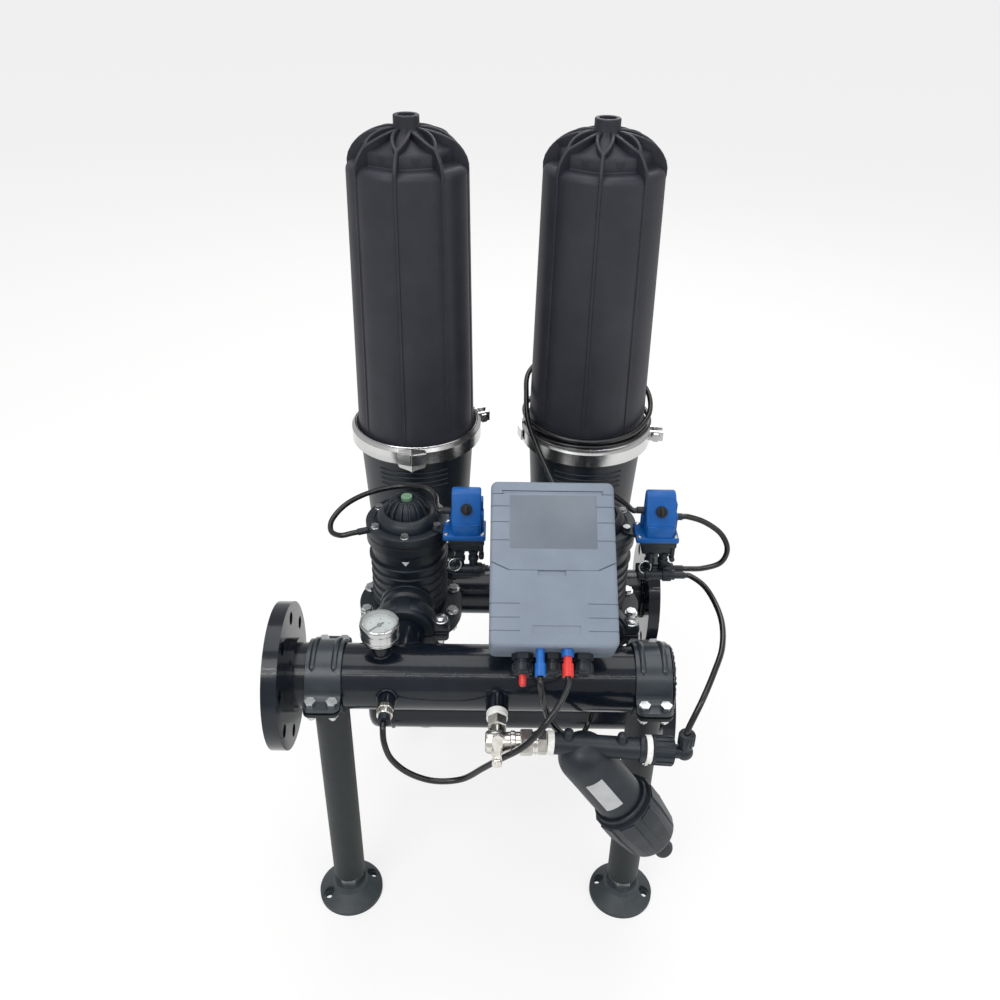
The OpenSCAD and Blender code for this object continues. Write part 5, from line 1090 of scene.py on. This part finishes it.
# dished cap on the closed end of the outlet pipe
bm = bmesh.new()
lathe(bm, ((0.002, -154), (44.4, -154), (44.9, -156), (44.9, -182), (43.6, -188), (40, -193), (33, -196.6),
           (22, -198.8), (10, -199.8), (0.002, -200)), 64, turned((0, 21, 240), y=90))
addPiece("outletCap", tidy(bm), "enamel", angle=40)

# saddles: rolled strap over the pipe, cradle and leg below, lugs with rounded corners, short pressed beads
saddle = {"xs": (-221, 216), "y": -166.0, "z": 468.0, "mid": 47.1, "thick": 5.0, "half": 24.0, "lug": 73.0,
          "corner": 9.0,
          "lugZ": 4.5, "beads": (-14.5, 14.5), "beadR": 49.2, "start": -228, "sweep": 90, "steps": 32,
          "legR": 24.15,
          "legLow": 50.0, "legTop": 423.0, "boreR": 12.3, "cradleR": 49.8}
s = saddle


def saddleHalf(bm, place):
    path = [(s["lug"] - d, s["lugZ"]) for d in (0, 0.3, 1, 2, 3.4, 5, 7, 9, 14)] + [(53, 4.6), (50.4, 6),
                                                                                    (48.4, 8.8)]
    path += [(s["mid"] * math.cos(math.radians(a)), s["mid"] * math.sin(math.radians(a)))
             for a in range(14, 90, 4)]
    path += [(0, s["mid"])] + [(-y, z) for y, z in reversed(path)]
    rings = []
    for k, (y, z) in enumerate(path):
        ahead = Vector(path[min(k + 1, len(path) - 1)]) - Vector(path[max(k - 1, 0)])
        out = Vector((ahead.y, -ahead.x)).normalized() * s["thick"] / 2
        d = min(s["lug"] - abs(y), s["corner"])
        w = s["half"] - s["corner"] + math.sqrt(max(s["corner"] ** 2 - (s["corner"] - d) ** 2, 0.01))
        rings.append([(x * mm, (y + out.x * f) * mm, (z + out.y * f) * mm)
                      for x, f in ((-w, 0.8), (0.5 - w, 1), (w - 0.5, 1), (w, 0.8), (w, -0.8), (w - 0.5, -1),
                                   (0.5 - w, -1), (-w, -0.8))])
    skin(bm, rings, place=place)


bm, legs = bmesh.new(), bmesh.new()
for x in s["xs"]:
    place = turned((x, s["y"], s["z"]))
    saddleHalf(bm, place)
    for dx in s["beads"]:
        rings = []
        for k in range(s["steps"] + 1):
            t = math.radians(s["start"] + s["sweep"] * k / s["steps"])
            f = math.sin(math.pi / 2 * min(1, (min(k, s["steps"] - k) + 0.3) / 3))  # rounded ends
            rings.append([((s["beadR"] + d * f) * mm * math.cos(t), (s["beadR"] + d * f) * mm * math.sin(t),
                           z * f * mm)
                          for d, z in ((0, -4.2), (1.2, -3.8), (2.4, -2.2), (2.8, 0), (2.4, 2.2), (1.2, 3.8),
                                       (0, 4.2))])
        skin(bm, rings, place=place @ turned((dx, 0, 0), y=90))
    saddleHalf(legs, place @ turned(x=180))
    lathe(legs, ((s["boreR"], s["legLow"]), (s["legR"] - 1, s["legLow"]), (s["legR"], s["legLow"] + 1),
                 (s["legR"], s["legTop"]), (s["boreR"], s["legTop"]), (s["boreR"], s["legLow"])), 56,
          turned((x, s["y"], 0)))
    r = s["legR"] + 0.8
    bead(legs, loopOf(48, lambda a: (x + r * math.cos(a), s["y"] + r * math.sin(a),
                                     s["z"] - math.sqrt(s["cradleR"] ** 2 - (r * math.sin(a)) ** 2))), 2.3)
addPiece("saddleStrap", tidy(bm), "strapPaint", replaces=("saddle_straps",), angle=40)
addPiece("frontLegs", tidy(legs), "legPaint", replaces=("front_legs",), angle=40)

# filter bases: moulded ribs below the clamp, front half
base = {"lowR": 79.0, "lowZ": 428.0, "highR": 90.5, "highZ": 631.0, "ribZ": (606, 597, 588, 579)}
bm = bmesh.new()
for x in unitX:
    for z in base["ribZ"]:
        share = (z - base["lowZ"]) / (base["highZ"] - base["lowZ"])
        r = base["lowR"] + (base["highR"] - base["lowR"]) * share
        arc(bm, ((r - 1, z - 2.6), (r + 1, z - 1.9), (r + 1.7, z - 0.8), (r + 1.7, z + 0.8), (r + 1, z + 1.9),
                 (r - 1, z + 2.6), (r - 1, z - 2.6)), 32, turned((x, filterY, 0)), -126, 72)
addPiece("baseRibs", tidy(bm), "valve", angle=40)

# left clamp: folded plate over the band joint at the front, a rolled lip on both clamps
band = {"mid": 641.0}
bm = bmesh.new()
place = turned((unitX[0], filterY, band["mid"]))
rings = []
for a, r, h in ((-102, 103.6, 12), (-101, 104.4, 15), (-92, 107.6, 18.5), (-90, 109.6, 20),
                (-88, 107.6, 18.5), (-79, 104.4, 15), (-78, 103.6, 12)):
    t = math.radians(a)
    rings.append([(d * mm * math.cos(t), d * mm * math.sin(t), z * mm)
                  for d, z in ((r, -h), (r, h), (r - 1.6, h), (r - 1.6, -h))])
skin(bm, rings, place=place)
for x in unitX:
    lathe(bm, ((96.4, 654), (98, 655.4), (98.8, 657.4), (98.2, 658.2), (96.6, 657.2), (95.4, 655.6),
               (96.4, 654)), 96,
          turned((x, filterY, 0)))
addPiece("clampPlates", tidy(bm), "stainless", angle=25)

# cable glands: dome nuts with grip ribs, one with a red blanking plug
gland = {"xs": (-38, 0, 38), "w": -39.0}
bm, plug = bmesh.new(), bmesh.new()
for x in gland["xs"]:
    place = casePlace @ turned((x, 0, gland["w"]), x=90)
    lathe(bm, ((0.002, 11.6), (12, 11.6), (12.8, 12.4), (12.8, 21), (12, 23.6), (9.6, 26.4), (7, 27.4),
               (5.6, 27), (5.2, 25.6), (0.002, 25.4)), 40, place)
    rib = bmesh.new()
    box(rib, (-1, -1, 12.8), (0.7, 1, 21.6), 0.4)
    ringOf(bm, rib, 16, 12.8, place)
lathe(plug, ((0.002, 25), (4.6, 25), (4.6, 38), (3.8, 40.4), (2, 41.4), (0.002, 41.6)), 28,
      casePlace @ turned((-38, 0, gland["w"]), x=90))
addPiece("glandNuts", tidy(bm), "valve")
addPiece("glandPlug", tidy(plug), "portRed")
bm = bmesh.new()
lathe(bm, ((5, 0.4), (7.2, 0.4), (7.8, 1), (7.8, 9), (7.2, 9.6), (5, 9.6), (5, 0.4)), 32,
      casePlace @ turned((17, 0, -13), x=90))
addPiece("portCollar", tidy(bm), "portBlue")
print("welds, straps, ribs and glands done")


print("pieces done")
